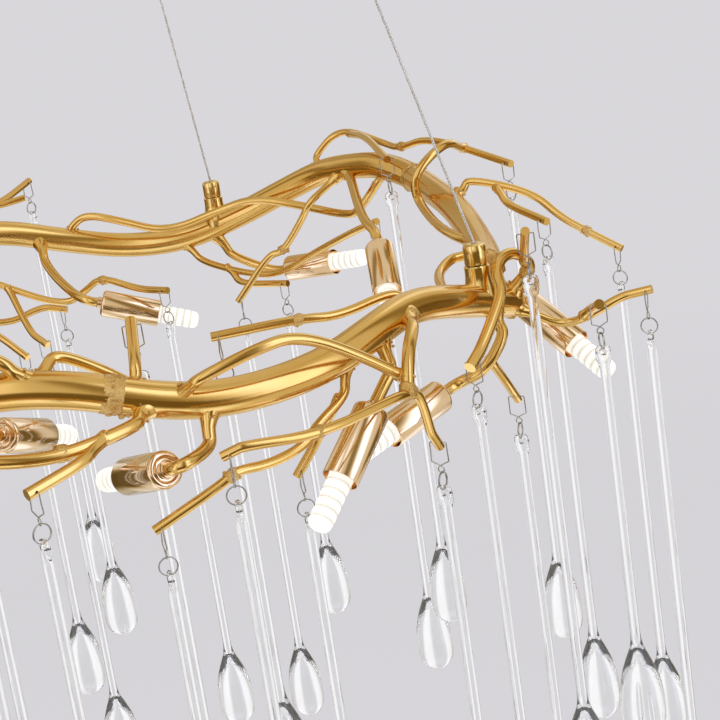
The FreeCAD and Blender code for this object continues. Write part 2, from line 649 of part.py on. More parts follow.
holder_floor = size("boss_height") + size("sleeve_back") + size("seat_gap")
bulb_floor = holder_floor + size("holder_length") - size("bulb_base_length")
holder_body = prism("holder_body_pattern", HOLDER_SIDES, "holder_radius", "holder_length",
                    Placement(Vector(0, 0, holder_floor), Rotation()))
holder_hollow = prism("holder_hollow_pattern", HOLDER_SIDES, "bulb_base_radius + cut_overrun", "holder_length",
                      Placement(Vector(0, 0, bulb_floor - size("seat_gap")), Rotation()))
holder = joined("holder_pattern", "Part::Cut", holder_body, holder_hollow)
bulb_shoulder = holder_floor + size("holder_length") + size("seat_gap")
bulb_end = bulb_floor + size("bulb_length")
bulb_profile = [
    (size("bulb_base_radius"), bulb_floor),
    (size("bulb_base_radius"), bulb_shoulder),
    (size("bulb_radius"), bulb_shoulder),
    (size("bulb_radius"), bulb_end - size("bulb_dome_height")),
    (size("bulb_base_radius"), bulb_end),
]
bulb = feature("bulb_pattern", [faceted_turning(bulb_profile, BULB_SIDES)])

document.recompute()
for label, pattern in (("lamp_sleeves", sleeve), ("lampholders", holder), ("bulbs", bulb)):
    feature(label, [moved(pattern.Shape, spot.Base, spot.Rotation) for spot in lamp_places])

# Suspension: a saddled socket on the trunk, a cap, a cable with a stop at each end and a gripper
SUSPENSION_PLACES = [("trunk_front", -26.5), ("trunk_back", 75), ("trunk_left", -160.5)]


def turned(label, profile, sides=TURNED_SIDES):
    """A turned piece with flat sides, from pairs of expressions for radius and height."""
    return feature(label, [faceted_loop([(evaluate(across), evaluate(rise)) for across, rise in profile], sides)])


def faceted_loop(profile, sides):
    """A solid turned about Z with flat sides, from an outline that closes on itself."""
    rings = [
        [Vector(across * math.cos(math.tau * k / sides), across * math.sin(math.tau * k / sides), rise)
         for k in range(sides)]
        for across, rise in profile
    ]
    faces = []
    for lower, upper in zip(rings, rings[1:] + rings[:1]):
        for k in range(sides):
            n = (k + 1) % sides
            faces.append(Part.Face(Part.makePolygon([lower[k], lower[n], upper[n], upper[k], lower[k]])))
    return closed_solid(faces)


cap_profile = [
    ("cable_hole_radius", "cap_height"), ("cable_hole_radius", "cap_height - cap_top"),
    ("cap_radius - cap_wall", "cap_height - cap_top"), ("cap_radius - cap_wall", "0"), ("cap_radius", "0"),
    ("cap_radius", "cap_height - cap_chamfer"), ("cap_radius - cap_chamfer", "cap_height"),
]
gripper_profile = [
    ("cable_hole_radius", "-gripper_length"), ("gripper_neck_radius", "-gripper_length"),
    ("gripper_radius", "gripper_neck_radius - gripper_length"), ("gripper_radius", "-gripper_flange_height"),
    ("gripper_flange_radius", "-gripper_flange_height"), ("gripper_flange_radius", "0"),
    ("gripper_neck_radius", "0"), ("gripper_neck_radius", "gripper_mouth_depth"),
    ("cable_hole_radius", "gripper_mouth_depth"),
]
hanger_places = []
for carrier, azimuth in SUSPENSION_PLACES:
    hanger_places.append(nearest(routes[carrier], place(azimuth, 1, 0)))

cap = turned("cap_pattern", cap_profile)
gripper = turned("gripper_pattern", gripper_profile)
gripper_circle = size("canopy_radius") - size("gripper_edge_distance")
saddle_reach = size("socket_radius") * 2
socket_top = size("trunk_radius") + size("socket_height")
socket_body = prism("socket_body_pattern", TURNED_SIDES, "socket_radius", "socket_height + trunk_radius", Placement())
socket_bore = prism("socket_bore_pattern", TURNED_SIDES, "socket_bore_radius", "socket_height",
                    Placement(Vector(0, 0, size("trunk_radius") + size("cap_top")), Rotation()))
socket = joined("socket_pattern", "Part::Cut", socket_body, socket_bore)
document.recompute()

sockets, caps, cables, grippers = [], [], [], []
for near, tangent in hanger_places:
    pipe_ends = [near - tangent * saddle_reach, near + tangent * saddle_reach]
    pipe = faceted_tube(pipe_ends, (size("trunk_radius") + size("seat_gap")), TRUNK_SIDES)
    sockets.append(moved(socket.Shape, near).cut(pipe))
    cap_floor = near + UP * (socket_top + size("seat_gap"))
    caps.append(moved(cap.Shape, cap_floor))
    turn = math.atan2(near.y, near.x)
    hold = Vector(gripper_circle * math.cos(turn), gripper_circle * math.sin(turn), 0)
    gripper_seat = hold - UP * (size("canopy_height") + size("seat_gap"))
    grippers.append(moved(gripper.Shape, gripper_seat))
    stop_top = cap_floor + UP * (size("cap_height") - size("cap_top") - size("seat_gap"))
    stop_floor = gripper_seat + UP * (size("gripper_mouth_depth") + size("seat_gap"))
    cable = faceted_tube([
        stop_top - UP * size("stop_length"),
        cap_floor + UP * (size("cap_height") + size("cut_overrun")),
        gripper_seat - UP * (size("gripper_length") + size("cut_overrun")),
        stop_floor + UP * size("stop_length"),
    ], size("cable_radius"))
    for floor in (stop_top - UP * size("stop_length"), stop_floor):
        cable = cable.fuse(faceted_tube([floor, floor + UP * size("stop_length")], size("stop_radius")))
    cables.append(cable.removeSplitter())
for label, pieces in (
    ("cable_sockets", sockets), ("socket_caps", caps), ("suspension_cables", cables), ("cable_grippers", grippers),
):
    feature(label, pieces)


# Ceiling plate, cover, nuts, terminal block and lead gland
def padded_body(label, plane, corners, depth_alias, reverse):
    """A body made from a closed outline that is given depth."""
    body = document.addObject("PartDesign::Body", label)
    body.Label = label
    pad = body.newObject("PartDesign::Pad", label + "_plate")
    pad.Profile = flat_sketch(body, label + "_outline", plane, corners)
    pad.setExpression("Length", named(depth_alias))
    pad.Reversed = reverse
    return body


def pierced(body, name, plane, circles, depth_alias):
    """Round holes through a body, given as expressions for place and radius."""
    import Sketcher

    sketch = body.newObject("Sketcher::SketchObject", name)
    origin_plane = next(f for f in body.Origin.OriginFeatures if f.Role == plane)
    sketch.AttachmentSupport = [(origin_plane, "")]
    sketch.MapMode = "FlatFace"
    for i, (x, y, radius) in enumerate(circles):
        centre = Vector(evaluate(x), evaluate(y), 0)
        sketch.addGeometry(Part.Circle(centre, UP, evaluate(radius)), False)
        number = sketch.addConstraint(Sketcher.Constraint("Radius", i, evaluate(radius)))
        sketch.setExpression(f"Constraints[{number}]", named(radius))
        for kind, axis, text, value in (("DistanceX", -2, x, centre.x), ("DistanceY", -1, y, centre.y)):
            if text == "0":
                sketch.addConstraint(Sketcher.Constraint("PointOnObject", i, 3, axis))
            else:
                number = sketch.addConstraint(Sketcher.Constraint(kind, -1, 1, i, 3, value))
                sketch.setExpression(f"Constraints[{number}]", named(text))
    pocket = body.newObject("PartDesign::Pocket", name + "_cut")
    pocket.Profile = sketch
    pocket.setExpression("Length", named(depth_alias))
    pocket.Midplane = True
    return pocket


CANOPY_SIDES = 30
canopy_profile = [
    ("0", "-canopy_height"), ("canopy_radius - canopy_edge_radius", "-canopy_height"),
    ("canopy_radius", "canopy_edge_radius - canopy_height"), ("canopy_radius", "0"),
    ("canopy_radius - canopy_wall", "0"),
    ("canopy_radius - canopy_wall", "canopy_edge_radius + canopy_wall / 2 - canopy_height"),
    ("canopy_radius - canopy_edge_radius - canopy_wall / 2", "canopy_wall - canopy_height"),
    ("0", "canopy_wall - canopy_height"),
]
dish = feature("canopy_dish", [faceted_turning(
    [(evaluate(across), evaluate(rise)) for across, rise in canopy_profile], CANOPY_SIDES
)])


def drill_rod(label, radius_alias, height_alias, base):
    """An upright prism for cutting, bound to the sheet."""
    return prism(label, TURNED_SIDES, radius_alias, height_alias, Placement(base, Rotation()))


canopy_floor = -size("canopy_height")
hole_start = canopy_floor - size("cut_overrun")
hole_tools = []
for number, (near, tangent) in enumerate(hanger_places, start=1):
    turn = math.atan2(near.y, near.x)
    hole_tools.append(drill_rod(
        f"gripper_hole_{number}", "gripper_neck_radius + seat_gap", "canopy_edge_radius",
        Vector(gripper_circle * math.cos(turn), gripper_circle * math.sin(turn), hole_start),
    ))
for number, side in enumerate((-1, 1), start=1):
    hole_tools.append(drill_rod(
        f"stud_hole_{number}", "stud_radius + stud_clearance", "canopy_edge_radius",
        Vector(side * size("stud_spacing") / 2, 0, hole_start),
    ))
hole_tools.append(drill_rod("gland_hole", "gland_radius + seat_gap", "canopy_edge_radius", Vector(0, 0, hole_start)))
canopy_holes = document.addObject("Part::Compound", "canopy_holes")
canopy_holes.Links = hole_tools
canopy = joined("canopy_cover", "Part::Cut", dish, canopy_holes)

bracket = padded_body(
    "ceiling_bracket", "XY_Plane",
    [("-bracket_length / 2", "-bracket_width / 2"), ("bracket_length / 2", "-bracket_width / 2"),
     ("bracket_length / 2", "bracket_width / 2"), ("-bracket_length / 2", "bracket_width / 2")],
    "bracket_thickness", True,
)
pierced(bracket, "bracket_holes", "XY_Plane", [
    ("-bracket_hole_spacing / 2", "0", "bracket_hole_radius"), ("bracket_hole_spacing / 2", "0", "bracket_hole_radius"),
    ("-lead_hole_offset", "0", "bracket_eye_radius"),
], "bracket_thickness * 4")

nut_body = prism("nut_body_pattern", TURNED_SIDES, "nut_radius", "nut_height", Placement())
nut_bore = prism("nut_bore_pattern", TURNED_SIDES, "stud_radius + stud_clearance", "nut_height",
                 Placement(UP * size("cap_wall"), Rotation()))
nut = joined("nut_pattern", "Part::Cut", nut_body, nut_bore)
stud_top = -size("bracket_thickness") - size("seat_gap")
stud_end = canopy_floor - size("nut_height") + size("cap_wall")
document.recompute()
nuts, studs = [], []
for side in (-1, 1):
    column = Vector(side * size("stud_spacing") / 2, 0, 0)
    nuts.append(moved(nut.Shape, column + UP * (canopy_floor - size("seat_gap") - size("nut_height"))))
    studs.append(faceted_tube([column + UP * stud_end, column + UP * stud_top], size("stud_radius")))
feature("canopy_nuts", nuts)
feature("canopy_studs", studs)

gland_flange = prism("gland_flange_pattern", TRUNK_SIDES, "gland_flange_radius", "gland_flange_height",
                     Placement(-UP * size("gland_flange_height"), Rotation()))
gland_neck = prism("gland_neck_pattern", TURNED_SIDES, "gland_radius", "gland_length", Placement())
gland_body = joined("gland_body_pattern", "Part::MultiFuse", gland_flange, gland_neck)
gland_bore = document.addObject("Part::Cylinder", "gland_bore_pattern")
gland_bore.setExpression("Radius", named("gland_bore_radius"))
gland_bore.setExpression("Height", named("gland_length * 2"))
gland_bore.Placement = Placement(-UP * size("gland_length") / 2, Rotation())
gland = joined("lead_gland", "Part::Cut", gland_body, gland_bore)
gland.Placement = Placement(Vector(0, 0, canopy_floor - size("seat_gap")), Rotation())

block = document.addObject("Part::Box", "terminal_body")
for side_name, alias in (("Length", "terminal_length"), ("Width", "terminal_width"), ("Height", "terminal_height")):
    block.setExpression(side_name, named(alias))
block_floor = -size("bracket_thickness") - size("seat_gap") - size("terminal_height")
block_start = size("terminal_offset") - size("terminal_length") / 2
block.Placement = Placement(Vector(block_start, -size("terminal_width") / 2, block_floor), Rotation())
wire_ways = []
for number in (-1, 0, 1):
    way = drill_rod(f"wire_way_{number + 2}", "terminal_bore_radius", "terminal_width * 2", Vector())
    way.Placement = Placement(
        Vector(size("terminal_offset") + number * size("terminal_pitch"), size("terminal_width"),
               block_floor + size("terminal_height") / 2),
        Rotation(Vector(1, 0, 0), 90),
    )
    wire_ways.append(way)
ways = document.addObject("Part::Compound", "wire_ways")
ways.Links = wire_ways
joined("terminal_block", "Part::Cut", block, ways)

NODES = [
    "ceiling_bracket", "canopy_cover", "canopy_studs", "canopy_nuts", "terminal_block", "lead_gland",
    "cable_grippers", "suspension_cables", "socket_caps", "cable_sockets",
    "trunk_front", "trunk_front_left", "trunk_left", "trunk_back", "trunk_right",
    "front_branches", "right_branches", "back_branches", "left_branches", "climbing_vines",
    "lamp_arms", "lamp_sleeves", "lampholders", "bulbs",
]
NODES += [drop.Label for drop in drops]

document.recompute()
for item in document.Objects:
    if "Invalid" in item.State or "Error" in item.State:
        raise RuntimeError(f"{item.Label} did not build: {item.State}")
os.makedirs("parts", exist_ok=True)
for label in NODES:
    shape = document.getObjectsByLabel(label)[0].Shape
    if shape.isNull() or not shape.isValid() or not shape.Solids:
        raise RuntimeError(f"{label} has no valid shape")
    shape.exportStep(f"parts/{label}.step")
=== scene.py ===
"""Looks of a ring chandelier: gold branches, lamps in rose gold sleeves and glass rods on wire clips."""
import json
import logging
import math
import random
from collections.abc import Callable
from dataclasses import dataclass
from enum import Enum

import bpy
from mathutils import Matrix, Vector


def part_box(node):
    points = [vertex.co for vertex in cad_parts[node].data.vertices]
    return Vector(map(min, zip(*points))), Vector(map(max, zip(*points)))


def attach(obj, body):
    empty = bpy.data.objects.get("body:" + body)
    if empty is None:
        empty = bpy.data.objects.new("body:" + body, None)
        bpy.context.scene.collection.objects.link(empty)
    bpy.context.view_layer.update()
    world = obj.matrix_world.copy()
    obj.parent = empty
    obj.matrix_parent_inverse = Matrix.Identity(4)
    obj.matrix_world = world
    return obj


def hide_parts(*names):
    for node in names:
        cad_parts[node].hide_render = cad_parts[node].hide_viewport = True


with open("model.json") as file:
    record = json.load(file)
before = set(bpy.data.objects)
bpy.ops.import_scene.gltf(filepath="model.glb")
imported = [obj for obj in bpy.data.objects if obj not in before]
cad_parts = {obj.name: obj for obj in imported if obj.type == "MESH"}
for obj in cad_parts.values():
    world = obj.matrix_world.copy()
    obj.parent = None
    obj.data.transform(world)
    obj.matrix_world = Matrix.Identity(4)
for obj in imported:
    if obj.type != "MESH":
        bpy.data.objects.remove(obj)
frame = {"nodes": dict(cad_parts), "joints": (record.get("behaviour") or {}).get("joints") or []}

log = logging.getLogger("chandelier")
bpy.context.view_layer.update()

RING_RADIUS = 0.32
RING_DEPTH = 0.64
TRUNK_RADIUS = 0.011
TRUNK_END_RADIUS = 0.007
STEM_RADIUS = 0.004
VINE_RADIUS = 0.0035
TWIG_RADIUS = 0.003
HOLE_RADIUS = 0.0009
SEAT_GAP = 0.0003

Spot = tuple[float, float, float]
Outline = list[tuple[float, float]]
Piece = bpy.types.Object
Material = bpy.types.Material


def place(azimuth: float, radius_share: float, height_share: float) -> Vector:
    """Turn shares of the ring into a point of the frame.

    Args:
        azimuth: Degrees round the ring from +X.
        radius_share: Distance from the ring's axis as a share of its radius.
        height_share: Height above the ring's plane as a share of its radius.

    Returns:
        The point in metres.
    """
    turn = math.radians(azimuth)
    across = RING_RADIUS * radius_share
    return Vector((across * math.cos(turn), across * math.sin(turn), RING_RADIUS * height_share - RING_DEPTH))


def heading(azimuth: float, elevation: float) -> Vector:
    """Return the unit direction of an azimuth and an elevation in degrees."""
    turn, rise = math.radians(azimuth), math.radians(elevation)
    return Vector((math.cos(rise) * math.cos(turn), math.cos(rise) * math.sin(turn), math.sin(rise)))


def facing(along: Vector) -> Matrix:
    """Return the turn that lays Z along a direction."""
    return along.to_track_quat("Z", "Y").to_matrix().to_4x4()


def arc(first: int, last: int, step: int) -> list[float]:
    """Return the angles from one whole degree to another, in radians."""
    return [math.radians(turn) for turn in range(first, last + step, step)]



# Shader graph


class Signal:
    """A socket of a shader graph that arithmetic can be written on."""

    def __init__(self, graph: "Graph", socket: bpy.types.NodeSocket | None) -> None:
        """Keep the graph and the socket."""
        self.graph = graph
        self.socket = socket

    def _math(self, operation: str, first: "Signal | float", second: "Signal | float" = 0.0) -> "Signal":
        """Add a Math node."""
        return self.graph.node("ShaderNodeMath", {"operation": operation}, {0: first, 1: second})

    def __add__(self, other: "Signal | float") -> "Signal":
        """Add."""
        return self._math("ADD", self, other)

    def __sub__(self, other: "Signal | float") -> "Signal":
        """Take away."""
        return self._math("SUBTRACT", self, other)

    def __rsub__(self, other: "Signal | float") -> "Signal":
        """Take this away from a number."""
        return self._math("SUBTRACT", other, self)

    def __mul__(self, other: "Signal | float") -> "Signal":
        """Multiply."""
        return self._math("MULTIPLY", self, other)

    def __pow__(self, other: "Signal | float") -> "Signal":
        """Raise to a power."""
        return self._math("POWER", self, other)

    def highest(self, other: "Signal | float") -> "Signal":
        """Return the larger of two values."""
        return self._math("MAXIMUM", self, other)

    def bearing(self, other: "Signal") -> "Signal":
        """Return the angle whose tangent is this over another value."""
        return self._math("ARCTAN2", self, other)

    def near(self, degrees: float, turns: float = 1.0) -> "Signal":
        """Return the cosine of an angle's distance from a bearing, times a number of turns."""
        return self._math("COSINE", (self - math.radians(degrees)) * turns)

    def between(self, low: float, high: float) -> "Signal":
        """Return 0 below a value, 1 above another, and a smooth rise from one to the other."""
        return self.graph.node("ShaderNodeMapRange", {"interpolation_type": "SMOOTHSTEP"},
                               {"Value": self, "From Min": low, "From Max": high})

    def band(self, low: float, high: float, soft: float) -> "Signal":
        """Return 1 between two values and 0 outside them, with soft edges."""
        return self.between(low - soft, low + soft) * (1 - self.between(high - soft, high + soft))

    __radd__ = __add__
    __rmul__ = __mul__


class Graph:
    """The shader nodes of one material or world."""

    def __init__(self, owner: "Material | bpy.types.World") -> None:
        """Start an empty graph on a material or a world.

        Args:
            owner: The material or world.
        """
        owner.use_nodes = True
        self.tree = owner.node_tree
        self.tree.nodes.clear()

    def node(self, kind: str, settings: dict | None = None, inputs: dict | None = None,
             output: int | str = 0) -> Signal:
        """Add a node.

        Args:
            kind: The node's type.
            settings: Its properties, with "stops" for a ramp as (position, colour) pairs.
            inputs: Values or signals for its sockets, by name or number.
            output: The socket that the signal stands for.

        Returns:
            The signal of the chosen output.
        """
        made = self.tree.nodes.new(kind)
        for key, value in (settings or {}).items():
            if key == "stops":
                self._set_stops(made.color_ramp, value)
            else:
                setattr(made, key, value)
        for key, value in (inputs or {}).items():
            if isinstance(value, Signal):
                self.tree.links.new(value.socket, made.inputs[key])
            else:
                made.inputs[key].default_value = value
        return Signal(self, made.outputs[output] if made.outputs else None)

    @staticmethod
    def _set_stops(ramp: bpy.types.ColorRamp, stops: list[tuple]) -> None:
        """Give a ramp its stops."""
        while len(ramp.elements) < len(stops):
            ramp.elements.new(0.5)
        for element, (position, colour) in zip(ramp.elements, stops):
            element.position = position
            element.color = (*colour, 1.0)

    def local(self) -> Signal:
        """Return the object's own coordinates."""
        return self.node("ShaderNodeTexCoord", output="Object")

    def noise(self, scale: float, detail: float = 2.0, rough: float = 0.5) -> Signal:
        """Return cloudy noise on the object's own coordinates."""
        return self.node("ShaderNodeTexNoise", inputs={
            "Vector": self.local(), "Scale": scale, "Detail": detail, "Roughness": rough,
        })

    def ramp(self, factor: Signal, *stops: tuple[float, Spot]) -> Signal:
        """Return a colour that follows a factor."""
        return self.node("ShaderNodeValToRGB", {"stops": stops}, {"Fac": factor})

    def bump(self, height: Signal, distance: float, strength: float = 1.0) -> Signal:
        """Return a normal that follows a height."""
        return self.node("ShaderNodeBump", inputs={"Height": height, "Distance": distance, "Strength": strength})

    def mix(self, factor: Signal, first: Signal, second: Signal) -> Signal:
        """Mix two shaders."""
        return self.node("ShaderNodeMixShader", inputs={0: factor, 1: first, 2: second})

    def background(self, colour: "Signal | tuple", strength: float = 1.0) -> Signal:
        """Return the light of a world."""
        return self.node("ShaderNodeBackground", inputs={"Color": colour, "Strength": strength})

    def surface(self, inputs: dict) -> None:
        """End the graph in one principled surface."""
        self.end("Material", self.node("ShaderNodeBsdfPrincipled", inputs=inputs))

    def end(self, kind: str, shader: Signal) -> None:
        """End the graph of a material or a world."""
        self.node("ShaderNodeOutput" + kind, inputs={"Surface": shader})


# Finishes


class Slot(Enum):
    """The record's material slots, named for the new pieces."""

    CLEAR_GLASS = "clear_glass"
    SATIN_GOLD = "satin_gold"
    BRIGHT_BRASS = "bright_brass"
    ROSE_GOLD = "rose_gold"
    WHITE_CERAMIC = "white_ceramic"
    FROSTED_LAMP = "frosted_lamp"
    BARE_STEEL = "bare_steel"
    POLISHED_CHROME = "polished_chrome"
    ZINC_STEEL = "zinc_steel"
    PAINTED_CANOPY = "painted_canopy"
    CLEAR_PLASTIC = "clear_plastic"


@dataclass(frozen=True)
class Finish:
    """A procedural material."""

    name: str

    def build(self) -> Material:
        """Make the material.

        Returns:
            The material.
        """
        material = bpy.data.materials.new(self.name)
        graph = Graph(material)
        graph.surface(self.inputs(graph))
        return material

    def inputs(self, graph: Graph) -> dict:
        """Return what goes into the principled surface."""
        raise NotImplementedError


@dataclass(frozen=True)
class Metal(Finish):
    """A metal with cloudy colour, uneven polish and a fine ripple, or the lumps of a weld."""

    dark: Spot
    light: Spot
    roughness: float
    unevenness: float = 0.06
    cloud_scale: float = 22.0
    ripple_scale: float = 140.0
    ripple_depth: float = 0.00003
    lumps: float = 0.0

    def inputs(self, graph: Graph) -> dict:
        """Return what goes into the principled surface.

        Args:
            graph: The graph that the nodes go into.

        Returns:
            Values and signals by the socket's name.
        """
        clouds = graph.noise(self.cloud_scale, 3.0)
        scuffs = graph.noise(self.cloud_scale * 14, 4.0, 0.65)
        height, depth = graph.noise(self.ripple_scale, 2.0), self.ripple_depth
        if self.lumps:
            height, depth = height * 0.3 + graph.noise(self.ripple_scale * 5, 3.0, 0.7), self.lumps
        return {
            "Base Color": graph.ramp(clouds, (0.3, self.dark), (0.7, self.light)),
            "Metallic": 1.0,
            "Roughness": clouds * self.unevenness + scuffs * self.unevenness + (self.roughness - self.unevenness),
            "Normal": graph.bump(height, depth),
        }


@dataclass(frozen=True)
class Plain(Finish):
    """Paint, plastic or ceramic with a soft skin."""

    colour: Spot
    roughness: float
    grain_scale: float = 900.0
    grain_depth: float = 0.00002

    def inputs(self, graph: Graph) -> dict:
        """Return what goes into the principled surface.

        Args:
            graph: The graph that the nodes go into.

        Returns:
            Values and signals by the socket's name.
        """
        clouds = graph.noise(30.0, 3.0)
        shade = tuple(part * 0.93 for part in self.colour)
        return {
            "Base Color": graph.ramp(clouds, (0.35, shade), (0.65, self.colour)),
            "Roughness": clouds * 0.1 + (self.roughness - 0.05),
            "Normal": graph.bump(graph.noise(self.grain_scale, 2.0), self.grain_depth),
        }


@dataclass(frozen=True)
class Glass(Finish):
    """Clear drawn glass with a faint ripple along it."""

    colour: Spot = (0.985, 0.99, 0.995)
    ior: float = 1.5
    ripple_scale: float = 60.0
    ripple_depth: float = 0.0004

    def inputs(self, graph: Graph) -> dict:
        """Return what goes into the principled surface."""
        return {
            "Base Color": (*self.colour, 1.0),
            "Roughness": graph.noise(90.0) * 0.03,
            "IOR": self.ior,
            "Transmission Weight": 0.95,
            "Normal": graph.bump(graph.noise(self.ripple_scale, 1.0), self.ripple_depth, 0.5),
        }


@dataclass(frozen=True)
class Glow(Finish):
    """Frosted body of a lamp that is on, its glow darker in the grooves between its ribs as painted shade."""

    # Painted shade: groove is the darker glow colour in the grooves between the ribs; rib is the full glow on the ribs.
    groove: Spot = (0.52, 0.46, 0.34)
    rib: Spot = (1.0, 0.985, 0.92)
    strength: float = 0.78

    def inputs(self, graph: Graph) -> dict:
        """Return what goes into the principled surface."""
        # The rib attribute masks the painted groove shade: low in the grooves, high on the ribs.
        rib = graph.node("ShaderNodeAttribute", {"attribute_name": "rib"}, output="Fac")
        return {
            "Base Color": graph.ramp(graph.noise(300.0), (0.3, (0.42, 0.41, 0.39)), (0.7, (0.48, 0.47, 0.45))),
            "Roughness": 0.35,
            "Emission Color": graph.ramp(rib, (0.0, self.groove), (1.0, self.rib)),
            "Emission Strength": self.strength,
            "Normal": graph.bump(graph.noise(500.0), 0.00005),
        }


class Finishes:
    """All materials, made once."""

    def __init__(self) -> None:
        """Build every finish."""
        self.gold = Metal("satin_gold", (0.74, 0.45, 0.12), (0.81, 0.53, 0.18), 0.17, 0.05,
                          ripple_depth=0.00002).build()
        self.weld = Metal("welded_gold", (0.66, 0.39, 0.10), (0.82, 0.56, 0.22), 0.24,
                          ripple_scale=260.0, lumps=0.0005).build()
        self.brass = Metal("bright_brass", (0.78, 0.52, 0.17), (0.85, 0.61, 0.24), 0.13, ripple_scale=300.0).build()
        self.rose = Metal("rose_gold", (0.83, 0.60, 0.37), (0.88, 0.67, 0.45), 0.09, 0.02,
                          ripple_scale=60.0, ripple_depth=0.000008).build()
        self.steel = Metal("bare_steel", (0.32, 0.31, 0.30), (0.62, 0.61, 0.59), 0.22, cloud_scale=120.0).build()
        self.strand = Metal("stranded_steel", (0.80, 0.78, 0.74), (0.92, 0.90, 0.87), 0.62, cloud_scale=90.0).build()
        self.chrome = Metal("polished_chrome", (0.60, 0.61, 0.63), (0.70, 0.71, 0.73), 0.09).build()
        self.zinc = Metal("zinc_steel", (0.50, 0.51, 0.52), (0.66, 0.67, 0.67), 0.36, 0.12, 60.0).build()
        self.ceramic = Plain("white_ceramic", (0.80, 0.78, 0.74), 0.4).build()
        self.plastic = Plain("white_plastic", (0.78, 0.78, 0.76), 0.42).build()
        self.inlet = Plain("clear_plastic", (0.66, 0.67, 0.67), 0.3).build()
        self.canopy = Metal("painted_canopy", (0.70, 0.44, 0.16), (0.76, 0.50, 0.21), 0.26, ripple_scale=700.0).build()
        self.glass = Glass("clear_glass").build()
        self.glow = Glow("frosted_lamp").build()


# Workbench


